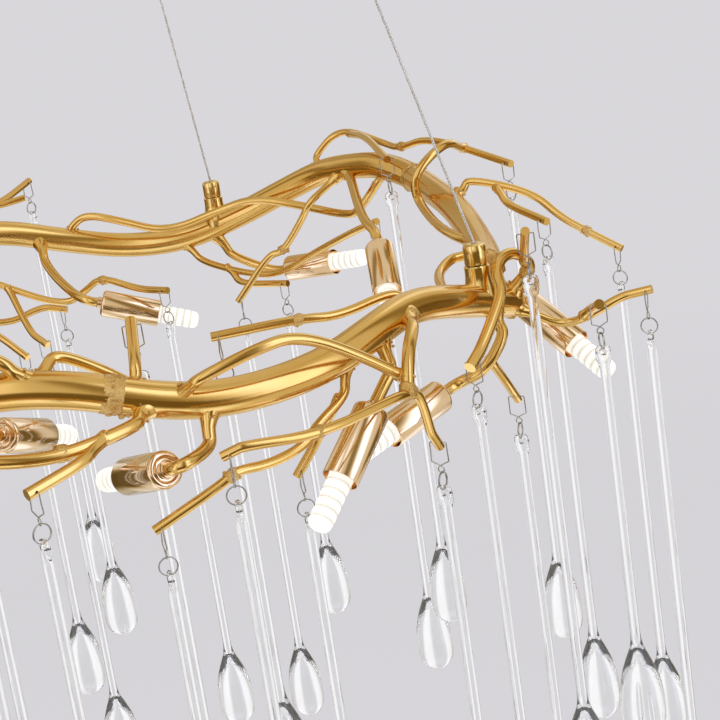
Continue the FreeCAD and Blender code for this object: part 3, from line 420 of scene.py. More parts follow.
class Bench:
    """The hand tools that shape a mesh."""

    @staticmethod
    def clear() -> None:
        """Leave edit mode and deselect everything."""
        if bpy.context.object and bpy.context.object.mode != "OBJECT":
            bpy.ops.object.mode_set(mode="OBJECT")
        bpy.ops.object.select_all(action="DESELECT")

    @staticmethod
    def pick(*pieces: Piece) -> None:
        """Select these pieces alone, the first one active.

        Args:
            pieces: The pieces.
        """
        Bench.clear()
        for piece in pieces:
            piece.select_set(True)
        bpy.context.view_layer.objects.active = pieces[0]

    @staticmethod
    def apply(piece: Piece) -> None:
        """Apply a piece's modifiers."""
        Bench.pick(piece)
        for modifier in list(piece.modifiers):
            bpy.ops.object.modifier_apply(modifier=modifier.name)

    @staticmethod
    def join(name: str, pieces: list[Piece]) -> Piece:
        """Join pieces into one under a name.

        Args:
            name: The joined piece's name.
            pieces: The pieces.

        Returns:
            The joined piece.
        """
        Bench.pick(*pieces)
        if len(pieces) > 1:
            bpy.ops.object.join()
        made = bpy.context.object
        made.name = made.data.name = name
        return made

    @staticmethod
    def copy(piece: Piece, matrix: Matrix) -> Piece:
        """Copy a piece with a mesh of its own, with the place in the mesh.

        Args:
            piece: The pattern.
            matrix: The copy's place.

        Returns:
            The copy.
        """
        made = piece.copy()
        made.data = piece.data.copy()
        bpy.context.scene.collection.objects.link(made)
        made.data.transform(matrix)
        return made

    @staticmethod
    def remove(*pieces: Piece) -> None:
        """Take patterns and cutting tools away."""
        for piece in pieces:
            bpy.data.objects.remove(piece)

    @staticmethod
    def finish(piece: Piece, material: Material, angle: float = 35.0) -> Piece:
        """Shade a piece smooth, with creases above an angle in degrees, and give it one material.

        Args:
            piece: The piece.
            material: Its material.
            angle: The least angle of a crease.

        Returns:
            The same piece.
        """
        Bench.pick(piece)
        bpy.ops.object.shade_smooth_by_angle(angle=math.radians(angle))
        return Bench.dress(piece, material)

    @staticmethod
    def dress(piece: Piece, material: Material) -> Piece:
        """Give a whole piece one material.

        Args:
            piece: The piece.
            material: Its material.

        Returns:
            The same piece.
        """
        piece.data.materials.clear()
        piece.data.materials.append(material)
        return piece

    @staticmethod
    def line(kind: str, points: list[Vector], radii: list[float] | None = None) -> Piece:
        """Start a curve with one spline of a kind along points.

        Args:
            kind: The spline's type.
            points: Its points.
            radii: The radius at each point.

        Returns:
            The curve.
        """
        Bench.clear()
        bpy.ops.curve.primitive_nurbs_path_add(location=(0, 0, 0))
        piece = bpy.context.object
        piece.data.dimensions = "3D"
        piece.data.splines.clear()
        spline = piece.data.splines.new(kind)
        spline.points.add(len(points) - 1)
        for point, spot, radius in zip(spline.points, points, radii or [1.0] * len(points)):
            point.co = (*spot, 1.0)
            point.radius = radius
        return piece

    @staticmethod
    def tube(points: list[Vector], radii: list[float], sides: int = 16, steps: int = 4, closed: bool = False) -> Piece:
        """Draw a round tube along a smooth line.

        Args:
            points: Control points of the line.
            radii: The tube's radius at each point.
            sides: Faces round the tube.
            steps: Divisions of the line for each point.
            closed: Whether the line closes on itself.

        Returns:
            The tube as a mesh.
        """
        line = Bench.line("NURBS", points, radii).data
        line.splines[0].order_u = 3
        line.splines[0].use_endpoint_u = not closed
        line.splines[0].use_cyclic_u = closed
        line.resolution_u = steps
        line.bevel_depth = 1.0
        line.bevel_resolution = sides // 2 - 2
        line.use_fill_caps = not closed
        bpy.ops.object.convert(target="MESH")
        return bpy.context.object

    @staticmethod
    def turned(outline: Outline, steps: int = 40, closed: bool = False) -> Piece:
        """Spin an outline about Z.

        Args:
            outline: Pairs of radius and height in millimetres.
            steps: Faces round the axis.
            closed: Whether the outline's end joins its start.

        Returns:
            The turned piece.
        """
        profile = [Vector((across, 0, level)) / 1000 for across, level in outline]
        Bench.clear()
        bpy.ops.mesh.primitive_plane_add(size=0.001, location=(0, 0, 0))
        piece = bpy.context.object
        bpy.ops.object.mode_set(mode="EDIT")
        bpy.ops.mesh.select_all(action="SELECT")
        bpy.ops.mesh.merge(type="CENTER")
        bpy.ops.transform.translate(value=profile[0])
        for start, end in zip(profile, profile[1:]):
            bpy.ops.mesh.extrude_region_move(TRANSFORM_OT_translate={"value": end - start})
        if closed:
            bpy.ops.mesh.select_all(action="DESELECT")
            bpy.ops.object.mode_set(mode="OBJECT")
            for end in (0, len(profile) - 1):
                piece.data.vertices[end].select = True
            bpy.ops.object.mode_set(mode="EDIT")
            bpy.ops.mesh.edge_face_add()
        bpy.ops.mesh.select_all(action="SELECT")
        bpy.ops.mesh.spin(steps=steps, angle=math.tau, center=(0, 0, 0), axis=(0, 0, 1))
        bpy.ops.mesh.select_all(action="SELECT")
        bpy.ops.mesh.remove_doubles(threshold=0.000004)
        bpy.ops.mesh.normals_make_consistent(inside=False)
        bpy.ops.object.mode_set(mode="OBJECT")
        return piece

    @staticmethod
    def spun(outline: Outline, material: Material, steps: int = 40, angle: float = 30.0,
             closed: bool = False) -> Piece:
        """Spin an outline in millimetres into a finished piece."""
        return Bench.finish(Bench.turned(outline, steps, closed), material, angle)

    @staticmethod
    def drill(piece: Piece, centre: Vector, axis: Vector, radius: float, length: float, sides: int = 12) -> None:
        """Cut a round hole into a piece.

        Args:
            piece: The piece to cut.
            centre: The hole's centre.
            axis: The hole's direction.
            radius: The hole's radius.
            length: How long the drill is.
            sides: Faces round the hole.
        """
        Bench.clear()
        bpy.ops.mesh.primitive_cylinder_add(vertices=sides, radius=radius, depth=length)
        tool = bpy.context.object
        tool.data.transform(Matrix.Translation(centre) @ facing(axis))
        modifier = piece.modifiers.new("cut", "BOOLEAN")
        modifier.operation = "DIFFERENCE"
        modifier.solver = "EXACT"
        modifier.object = tool
        Bench.apply(piece)
        Bench.remove(tool)

    @staticmethod
    def squeeze(piece: Piece, low: float, high: float, share: float) -> None:
        """Flatten the part of a piece between two heights along Y.

        Args:
            piece: The piece.
            low: The lower height.
            high: The upper height.
            share: What is left of its thickness.
        """
        Bench.pick(piece)
        bpy.ops.object.mode_set(mode="EDIT")
        bpy.ops.mesh.select_all(action="DESELECT")
        bpy.ops.object.mode_set(mode="OBJECT")
        for vertex in piece.data.vertices:
            vertex.select = low < vertex.co.z <= high
        bpy.ops.object.mode_set(mode="EDIT")
        bpy.ops.transform.resize(value=(1, share, 1), center_override=(0, 0, 0))
        bpy.ops.object.mode_set(mode="OBJECT")


def keep(name: str, pieces: list[Piece], body: str, slot: Slot, *nodes: str) -> None:
    """Join finished pieces into one, hang it on its body, and hide the CAD nodes that it replaces.

    Args:
        name: The kept piece's name.
        pieces: What it is joined from.
        body: The body that it moves with.
        slot: The record's material slot; not used.
        nodes: The CAD nodes that it replaces.
    """
    made = Bench.join(name, pieces)
    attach(made, body)
    if nodes:
        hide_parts(*nodes)
    log.info("%s: %d faces on %s", made.name, len(made.data.polygons), body)


# Camera and studio


@dataclass(frozen=True)
class Viewpoint:
    """Where the photograph was taken from."""

    spot: Spot = (0.1956, -1.2699, -0.3883)
    tilt_deg: float = 75.43
    roll_deg: float = -8.6
    lens_mm: float = 87.39
    sensor_mm: float = 36.0

    def build(self) -> None:
        """Set up the camera."""
        Bench.clear()
        bpy.ops.object.camera_add()
        camera = bpy.context.object
        camera.name = "photo_camera"
        tilt = Matrix.Rotation(math.radians(self.tilt_deg), 4, "X")
        roll = Matrix.Rotation(math.radians(self.roll_deg), 4, "Z")
        camera.matrix_world = Matrix.Translation(self.spot) @ (tilt @ roll)
        camera.data.lens = self.lens_mm
        camera.data.sensor_width = self.sensor_mm
        camera.data.clip_start, camera.data.clip_end = 0.05, 100.0
        bpy.context.scene.camera = camera


@dataclass(frozen=True)
class Studio:
    """A pale room with soft lamps, and the room's windows and corners as polished metal shows them."""

    pale: Spot = (0.694, 0.681, 0.707)
    behind_glass: Spot = (1.0, 0.995, 1.0)
    even_light: float = 0.72
    mirrored_room: float = 0.77
    ceiling_shade: float = -0.06
    corner_shade: float = -0.64
    panel_light: float = 0.7
    floor_shade: float = -0.4
    darkest: float = 0.1
    red_power: float = 0.82
    blue_power: float = 1.5
    strip_edge: float = 0.02
    floor_level: float = -1.9
    floor_size: float = 60.0
    front_deg: float = -81.0
    # Each window strip: azimuth and half width in degrees, extra light, lowest and highest rise
    strips: tuple[tuple[float, ...], ...] = (
        (-36, 12, 1.2, -0.35, 0.85), (-66, 11, -0.5, 0, 0.95), (60, 8, 0.7, -0.4, 0.8), (113, 20, -0.28, -0.5, 0.8),
        (-140, 10, 0.8, -0.3, 0.8), (-105, 9, 0.6, 0.1, 0.9), (165, 10, -0.5, -0.1, 0.9), (20, 11, -0.5, -0.1, 0.9),
    )
    # Each lamp: name, place, size in metres and watts
    softboxes: tuple[tuple, ...] = (
        ("overhead_softbox", (-0.9, -0.9, 1.1), 1.3, 24.0),
        ("side_softbox", (1.9, -1.1, 0.2), 0.9, 12.0),
        ("back_softbox", (-0.4, 1.9, 0.5), 1.2, 12.0),
    )

    @staticmethod
    def _ray(graph: Graph, kind: str) -> Signal:
        """Return 1 for one kind of ray."""
        return graph.node("ShaderNodeLightPath", output=f"Is {kind} Ray")

    @staticmethod
    def _turn(graph: Graph) -> tuple[Signal, Signal]:
        """Return a ray's turn round the room in radians and its rise as a sine.

        Args:
            graph: The graph that the nodes go into.

        Returns:
            The turn and the rise.
        """
        direction = graph.node("ShaderNodeTexCoord", output="Generated")
        parts = graph.node("ShaderNodeSeparateXYZ", inputs={0: direction}).socket.node.outputs
        x, y, rise = (Signal(graph, socket) for socket in parts)
        return y.bearing(x), rise

    def _seen(self, graph: Graph) -> Signal:
        """Return the pale room, with the brighter window strips that glass gathers at its edges.

        Args:
            graph: The graph that the nodes go into.

        Returns:
            The colour of the room.
        """
        turn, _ = self._turn(graph)
        window = (0.25 - turn.near(self.front_deg, 6.0)).between(0.0, 0.9) * self._ray(graph, "Transmission")
        return graph.ramp(window, (0.0, self.pale), (1.0, self.behind_glass))

    def _reflected(self, graph: Graph) -> Signal:
        """Return the room as metal reflects it: dark low corners, bright low panels and tall window strips.

        Args:
            graph: The graph that the nodes go into.

        Returns:
            The colour of the room.
        """
        turn, rise = self._turn(graph)
        corner = turn.near(self.front_deg, 3.0).between(-0.75, 0.05)
        dark = rise.band(-0.60, 0.02, 0.07)
        panel = rise.band(-0.91, -0.70, 0.035)
        depth = 1 - rise.between(-0.97, -0.93)
        low = dark * self.corner_shade + panel * self.panel_light + depth * self.floor_shade
        level = rise.between(0.0, 0.25) * self.ceiling_shade + self.mirrored_room + corner * low
        for azimuth, half_width, extra, bottom, top in self.strips:
            edge = math.cos(math.radians(half_width))
            strip = turn.near(azimuth).between(edge - self.strip_edge, edge + self.strip_edge)
            level = level + strip * rise.band(bottom, top, 0.06) * extra
        level = level.highest(self.darkest)
        parts = {0: level ** self.red_power, 1: level, 2: level ** self.blue_power}
        return graph.node("ShaderNodeCombineXYZ", inputs=parts)

    def _world(self) -> None:
        """Make the world: one room for the camera and glass, one for metal, and an even light."""
        world = bpy.data.worlds.new("pale_room")
        bpy.context.scene.world = world
        graph = Graph(world)
        shown = self._ray(graph, "Camera").highest(self._ray(graph, "Transmission"))
        light = graph.background((1.0, 0.99, 0.98, 1.0), self.even_light)
        lit = graph.mix(self._ray(graph, "Glossy"), light, graph.background(self._reflected(graph)))
        graph.end("World", graph.mix(shown, lit, graph.background(self._seen(graph))))

    def _floor(self) -> None:
        """Lay the floor, which is as pale as the room far out and clear from below."""
        Bench.clear()
        bpy.ops.mesh.primitive_plane_add(size=self.floor_size, location=(0, 0, self.floor_level))
        floor = bpy.context.object
        floor.name = "studio_floor"
        material = bpy.data.materials.new("studio_floor")
        graph = Graph(material)
        tone = graph.ramp(graph.noise(3.0, 3.0), (0.0, (0.61, 0.60, 0.64)), (1.0, (0.66, 0.65, 0.69)))
        matt = graph.node("ShaderNodeBsdfDiffuse", inputs={"Color": tone})
        pale = graph.node("ShaderNodeEmission", inputs={"Color": (*self.pale, 1.0)})
        far = graph.node("ShaderNodeVectorMath", {"operation": "LENGTH"}, {0: graph.local()}, "Value")
        shown = self._ray(graph, "Camera") * (far.between(1.5, 6.0) * 0.2 + 0.8)
        below = graph.node("ShaderNodeNewGeometry", output="Backfacing")
        clear = graph.node("ShaderNodeBsdfTransparent")
        graph.end("Material", graph.mix(below, graph.mix(shown, matt, pale), clear))
        Bench.dress(floor, material)
        floor.visible_glossy = floor.visible_transmission = False

    def build(self) -> None:
        """Make the world, the floor and the lamps."""
        self._world()
        self._floor()
        for name, spot, size, watts in self.softboxes:
            Bench.clear()
            bpy.ops.object.light_add(type="AREA", location=spot)
            lamp = bpy.context.object
            lamp.name = name
            lamp.data.shape = "SQUARE"
            lamp.data.size = size
            lamp.data.energy = watts
            lamp.visible_camera = lamp.visible_glossy = lamp.visible_transmission = False
            lamp.rotation_euler = (Vector((0, 0, -RING_DEPTH)) - Vector(spot)).to_track_quat("-Z", "Y").to_euler()


# Branches


def eased(places: list[Vector]) -> list[Vector]:
    """Return control points whose smooth line passes through the places.

    Args:
        places: The places of the route.

    Returns:
        The route with each inner place pushed out by as much as the line would cut it.
    """
    inner = [spot + (spot * 2 - before - after) / 8 for before, spot, after in zip(places, places[1:], places[2:])]
    return [places[0], *inner, places[-1]]


def flared(places: list[Vector], radius: float, carrier: float, flare: float) -> tuple[list[Vector], list[float]]:
    """Return a route that widens into the piece that carries its start.

    Args:
        places: The places of the route, from the carrier's axis on.
        radius: The tube's radius.
        carrier: The carrier's radius.
        flare: How much the tube widens, where 1 is two thirds at the carrier's skin.

    Returns:
        The control points and the radius at each.
    """
    run = places[1] - places[0]
    reach = carrier + radius * 2.6
    stations = [(0.0, 0.6), (carrier * 0.6, 0.95), (carrier, 0.62), (carrier + radius * 1.1, 0.25), (reach, 0.0)]
    step = run.normalized() * min(1.0, run.length * 0.66 / reach)
    points = [places[0] + step * distance for distance, _ in stations] + eased(places)[1:]
    radii = [radius * (1 + flare * share) for _, share in stations] + [radius] * (len(places) - 1)
    return points, radii


def straight_end(points: list[Vector], reach: float = 0.009) -> list[Vector]:
    """Return a route whose last stretch is straight, so that its drilled hole stays on its axis.

    Args:
        points: Control points of the route.
        reach: Length of the straight stretch.

    Returns:
        The route with its end straightened.
    """
    run = points[-2] - points[-1]
    along = run.normalized() * min(reach, run.length * 0.7)
    return [*points[:-1], points[-1] + along, points[-1] + along * 0.5, points[-1]]


# Places are azimuth in degrees, share of the ring's radius, and height as a share of it
TRUNK_PLACES: dict[str, list[Spot]] = {
    "trunk_front": [
        (-80, 1, 0.015), (-74, 1, -0.02), (-66, 1, -0.036), (-57, 1, -0.026), (-49, 0.985, 0), (-41, 0.965, 0.01),
        (-32, 0.975, -0.02), (-20.5, 1.01, -0.075),
    ],
    "trunk_front_left": [
        (-80.2, 1, 0.016), (-87, 1, 0.05), (-97, 1, 0.05), (-107, 0.99, 0.02), (-117, 0.97, 0), (-128, 0.96, 0.02),
    ],
    "trunk_left": [
        (-118, 1.054, -0.01), (-130, 1.034, 0), (-142, 1, 0.045), (-154, 0.99, 0.04), (-167, 1, 0), (-180, 1, -0.02),
        (-194, 0.99, 0), (-207, 0.965, 0.03), (-219, 0.945, 0.045),
    ],
    "trunk_back": [
        (145, 1.02, 0.03), (134, 1.02, 0.055), (122, 1, 0.06), (110, 1, 0.035), (100, 1, -0.02), (90, 1, -0.064),
        (80, 1, -0.064), (70, 1, -0.013), (61.5, 1, 0.043), (54, 0.995, 0.088), (46, 0.965, 0.108),
        (37.4, 0.953, 0.112), (29, 0.934, 0.092),
    ],
    "trunk_right": [
        (28.7, 0.933, 0.091), (21, 0.907, 0.078), (8, 0.897, 0.055), (-4, 0.912, 0.022), (-14, 0.943, 0.008),
        (-21.5, 0.976, 0.006),
    ],
}
# The trunks with a tapered end, and which end it is
DRAWN_ENDS = {"trunk_back": 0, "trunk_left": -1}


@dataclass(frozen=True)
class Branch:
    """One thin branch: its route, what it stands on, whether it lands on a trunk, and the drops at its ends."""

    radius: float
    places: tuple[Spot, ...]
    on: float = TRUNK_RADIUS
    rooted: bool = True
    lands: bool = False
    first_drop: int = 0
    drop: int = 0
    flare: float = 1.0


def branches_of(radius: float) -> Callable[..., Branch]:
    """Return a maker of branches of one radius, which takes the places and then what differs from a plain one."""
    return lambda *places, **traits: Branch(radius, places, **traits)


stem, vine, twig = (branches_of(radius) for radius in (STEM_RADIUS, VINE_RADIUS, TWIG_RADIUS))

BRANCHES: dict[str, tuple[Branch, ...]] = {
    "front_branches": (
        stem((-76.5, 1, -0.012), (-79, 1.06, -0.03), (-85.5, 1.12, -0.041), (-90.5, 1.145, -0.03),
             (-95.5, 1.15, -0.008), drop=1),
        vine((-81.5, 1.08, -0.033), (-84, 1.135, -0.055), (-88.5, 1.2, -0.077), on=STEM_RADIUS, drop=2),
        twig((-53.5, 1, -0.012), (-55.5, 1.006, -0.09), (-59.5, 1.016, -0.128), (-62, 1.025, -0.155),
             (-66, 1.038, -0.164), (-69.5, 1.047, -0.16), (-71.5, 1.05, -0.175), (-78.7, 1.047, -0.232), drop=3),
        twig((-72.2, 1.15, -0.094), (-69.8, 1.161, -0.083), (-63.2, 1.161, -0.094), (-55.1, 1.139, -0.086),
             (-52.2, 1.124, -0.091), (-51, 1.122, -0.1), (-50.1, 1.116, -0.136), (-49.2, 1.106, -0.184),
             (-47.8, 1.097, -0.225), first_drop=4, drop=5, rooted=False),
        stem((-43, 0.975, 0.006), (-46.9, 1.05, 0.001), (-50.5, 1.1, -0.03), (-52.2, 1.124, -0.091), lands=True,
             flare=1.2),
        twig((-55.9, 1.006, -0.092), (-57.5, 0.956, -0.17), (-60.6, 0.937, -0.24), on=TWIG_RADIUS, drop=6),
        twig((-37.5, 0.968, 0), (-41.5, 0.918, 0.034), (-48.8, 0.89, 0.025), (-54.3, 0.859, 0.034),
             (-65, 0.797, 0.031), drop=7, flare=0.4),
        vine((-77.8, 1, -0.002), (-77.2, 0.965, 0.055), (-76.2, 0.875, 0.115), drop=8),
        stem((-87.5, 1, 0.05), (-90.4, 1.015, 0.11), (-96, 1.01, 0.16), (-100, 1.07, 0.175), (-103, 1.15, 0.155)),
    ),
    "right_branches": (
        stem((-21.5, 1.01, -0.068), (-21.1, 1.061, -0.003), (-22.9, 1.052, 0.035), (-25.2, 1.035, 0.042),
             (-27.4, 1.03, 0.021), (-29.1, 1.047, -0.014), (-32.1, 1.047, -0.058), (-35.3, 1.045, -0.101),
             (-38, 1.045, -0.127), drop=9),
        twig((-28.3, 0.995, -0.16), (-24.6, 1, -0.231), (-20.7, 1, -0.292), on=STEM_RADIUS, drop=10),
        twig((-22.2, 1.059, 0.015), (-25.3, 1.083, 0.066), (-28.1, 1.108, 0.104), on=STEM_RADIUS, drop=11),
        twig((-21.6, 1.005, -0.078), (-20, 1.109, -0.13), (-20, 1.175, -0.118), (-19, 1.238, -0.091),
             (-19, 1.307, -0.077), drop=12),
        vine((-20, 1.16, -0.121), (-21, 1.185, -0.1), (-23.5, 1.215, -0.078), on=TWIG_RADIUS, drop=13),
        twig((12, 0.9, 0.065), (11.5, 0.96, 0.1), (8, 1.08, 0.06), (5, 1.134, 0.004), (3, 1.19, -0.037),
             (1, 1.255, -0.08), drop=14),
        twig((10, 1.01, 0.083), (5.5, 1.02, 0.05), (-1, 1.084, 0.018), on=TWIG_RADIUS, drop=15),
    ),
    "back_branches": (
        twig((55.5, 0.998, 0.08), (56, 1.04, 0.13), (52, 1.066, 0.187), (44, 1.051, 0.155), (38, 1.02, 0.148),
             (30, 1.02, 0.17), (14, 1.079, 0.119), drop=16),
        twig((50.5, 1.062, 0.18), (42, 0.96, 0.185), (27.5, 0.85, 0.156), on=TWIG_RADIUS, drop=17),
        twig((48.5, 0.97, 0.095), (51.8, 0.88, 0.03), (54, 0.87, -0.017), (58.2, 0.85, -0.095), (61.3, 0.84, -0.113),
             (67.7, 0.8, -0.222), drop=18),
        twig((121, 1, 0.052), (118, 0.93, -0.03), (113.5, 0.86, -0.082), (103.7, 0.765, -0.15), (98.3, 0.735, -0.127),
             (93.8, 0.7, -0.095), (85.6, 0.64, -0.122), (76.5, 0.583, -0.126), drop=19),
        twig((112.2, 0.845, -0.092), (111, 0.734, -0.2), (108.7, 0.672, -0.239), on=TWIG_RADIUS, drop=20),
        twig((81.4, 1, -0.066), (77, 0.96, -0.13), (68.6, 0.9, -0.161), (60.9, 0.88, -0.164), (51.2, 0.865, -0.102),
             (42, 0.865, -0.048), (35, 0.865, -0.014), drop=21),
        twig((72.5, 0.928, -0.147), (68.6, 0.885, -0.187), (58.6, 0.858, -0.19), on=TWIG_RADIUS, drop=22),
        twig((128, 1.01, 0.055), (126.5, 0.97, -0.1), (115, 0.87, -0.191), (107.2, 0.85, -0.172),
             (102.2, 0.82, -0.184), drop=23),
        twig((134, 1.02, 0.05), (130, 0.86, -0.06), (124, 0.75, -0.123), (119.2, 0.672, -0.187),
             (115.5, 0.594, -0.243), drop=24),
        twig((118, 1, 0.05), (115.2, 1.063, 0.08), (108, 1.125, 0.103), (103, 1.2, 0.14), drop=25),
        twig((110, 1.108, 0.096), (107, 1.1, 0.1), (104.5, 1.1, 0.106), on=TWIG_RADIUS),
    ),
    "left_branches": (
        twig((-103, 1, 0.035), (-104, 1.08, 0.01), (-107, 1.15, 0.02), (-110, 1.24, -0.03), drop=26),
        twig((-109, 0.99, 0.015), (-108, 0.92, 0.06), (-104, 0.85, 0.03), (-101, 0.77, 0.02), drop=27),
        twig((-136, 1.015, 0.02), (-137, 1.09, 0.05), (-135, 1.16, 0.02), (-134, 1.26, -0.02), drop=28),
        twig((-145, 1, 0.045), (-143, 0.92, 0.08), (-138, 0.86, 0.03), (-135, 0.78, 0.01), drop=29),
        twig((-174, 1, -0.01), (-172, 1.08, 0), (-170, 1.16, -0.05), (-167, 1.25, -0.07), drop=30),
        twig((-186, 1, -0.01), (-184, 0.91, -0.04), (-180, 0.84, -0.02), (-177, 0.76, -0.07), drop=31),
        twig((-196, 0.99, 0.005), (-195, 1.07, 0.03), (-191, 1.15, 0), (-190, 1.24, -0.04), drop=32),
    ),
    "climbing_vines": (
        vine((-74.5, 1, -0.018), (-71.7, 1.055, 0.025), (-66, 1.069, 0.055), (-61.4, 1.069, 0.055),
             (-55.7, 1.088, -0.004), (-51.4, 1.098, -0.064), lands=True),
        vine((-88.5, 1, 0.05), (-85.5, 0.94, 0.085), (-82, 0.932, 0.06), (-78.5, 0.935, 0.02), (-76, 0.99, -0.008),
             lands=True),
        vine((99, 1, -0.025), (98.3, 0.997, 0.012), (95.6, 0.985, 0.038), (90.2, 0.95, 0.017), (82, 0.937, -0.025),
             (72.2, 0.937, 0.013), (65, 0.93, 0.034), (55.6, 0.925, 0.009), (46.5, 0.915, -0.011),
             (41.7, 0.905, 0.011), (38, 0.94, 0.09), lands=True),
        vine((24, 1.042, 0.151), (18, 0.94, 0.185), (16, 0.845, 0.13), (15.5, 0.845, 0.06), (-3.7, 0.853, 0.032),
             (-9, 0.925, 0.013), on=TWIG_RADIUS, lands=True),
        vine((-11, 0.935, 0.01), (-15, 0.87, 0.005), (-22, 0.862, -0.015), (-33, 0.975, -0.018), lands=True),
    ),
}

# Rough knots of weld metal on the thin branches: their middle, the way they face, and their radius
KNOTS: dict[str, tuple[tuple[Spot, Spot, float], ...]] = {
    "front_branches": (
        ((-51.9, 1.12, -0.086), (-50.1, 1.116, -0.136), 0.0046),
        ((-63.2, 1.157, -0.093), (-60, 1.152, -0.091), 0.0035),
        ((-70.3, 1.048, -0.164), (-71.5, 1.05, -0.175), 0.0038),
        ((-54, 0.861, 0.0335), (-56, 0.85, 0.0338), 0.0035),
        ((-85.5, 1.115, -0.04), (-90.5, 1.14, -0.03), 0.0045),
        ((-43.8, 0.997, 0.007), (-46.9, 1.05, 0.001), 0.0054),
    ),
    "right_branches": (
        ((-21.2, 1.055, -0.013), (-21.1, 1.061, -0.003), 0.0044),
        ((3.1, 1.186, -0.034), (1, 1.255, -0.08), 0.0035),
    ),
    "back_branches": (
        ((38.2, 1.022, 0.149), (30, 1.02, 0.17), 0.0036),
        ((58.2, 0.852, -0.093), (61.3, 0.84, -0.113), 0.0036),
        ((93.6, 0.698, -0.097), (85.6, 0.64, -0.122), 0.0035),
    ),
}


@dataclass
class Hanger:
    """Where a drop hangs: its hinge's centre and level axis."""

    centre: Vector
    axis: Vector

    def matrix(self) -> Matrix:
        """Return the placement whose X is the hinge's axis and Z is up."""
        return Matrix.Translation(self.centre) @ Matrix.Rotation(math.atan2(self.axis.y, self.axis.x), 4, "Z")


def hangers() -> dict[int, Hanger]:
    """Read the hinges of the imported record, by the drop's number."""
    return {int(joint["child"].split("_")[1]): Hanger(Vector(joint["pos_m"]), Vector(joint["axis"]))
            for joint in frame["joints"]}


def beside(along: Vector, turn: float) -> Vector:
    """Return the unit direction square to another, turned about it by an angle in radians.

    Args:
        along: The direction.
        turn: The angle.

    Returns:
        The direction beside it.
    """
    side = along.orthogonal().normalized()
    side.rotate(Matrix.Rotation(turn, 3, along))
    return side


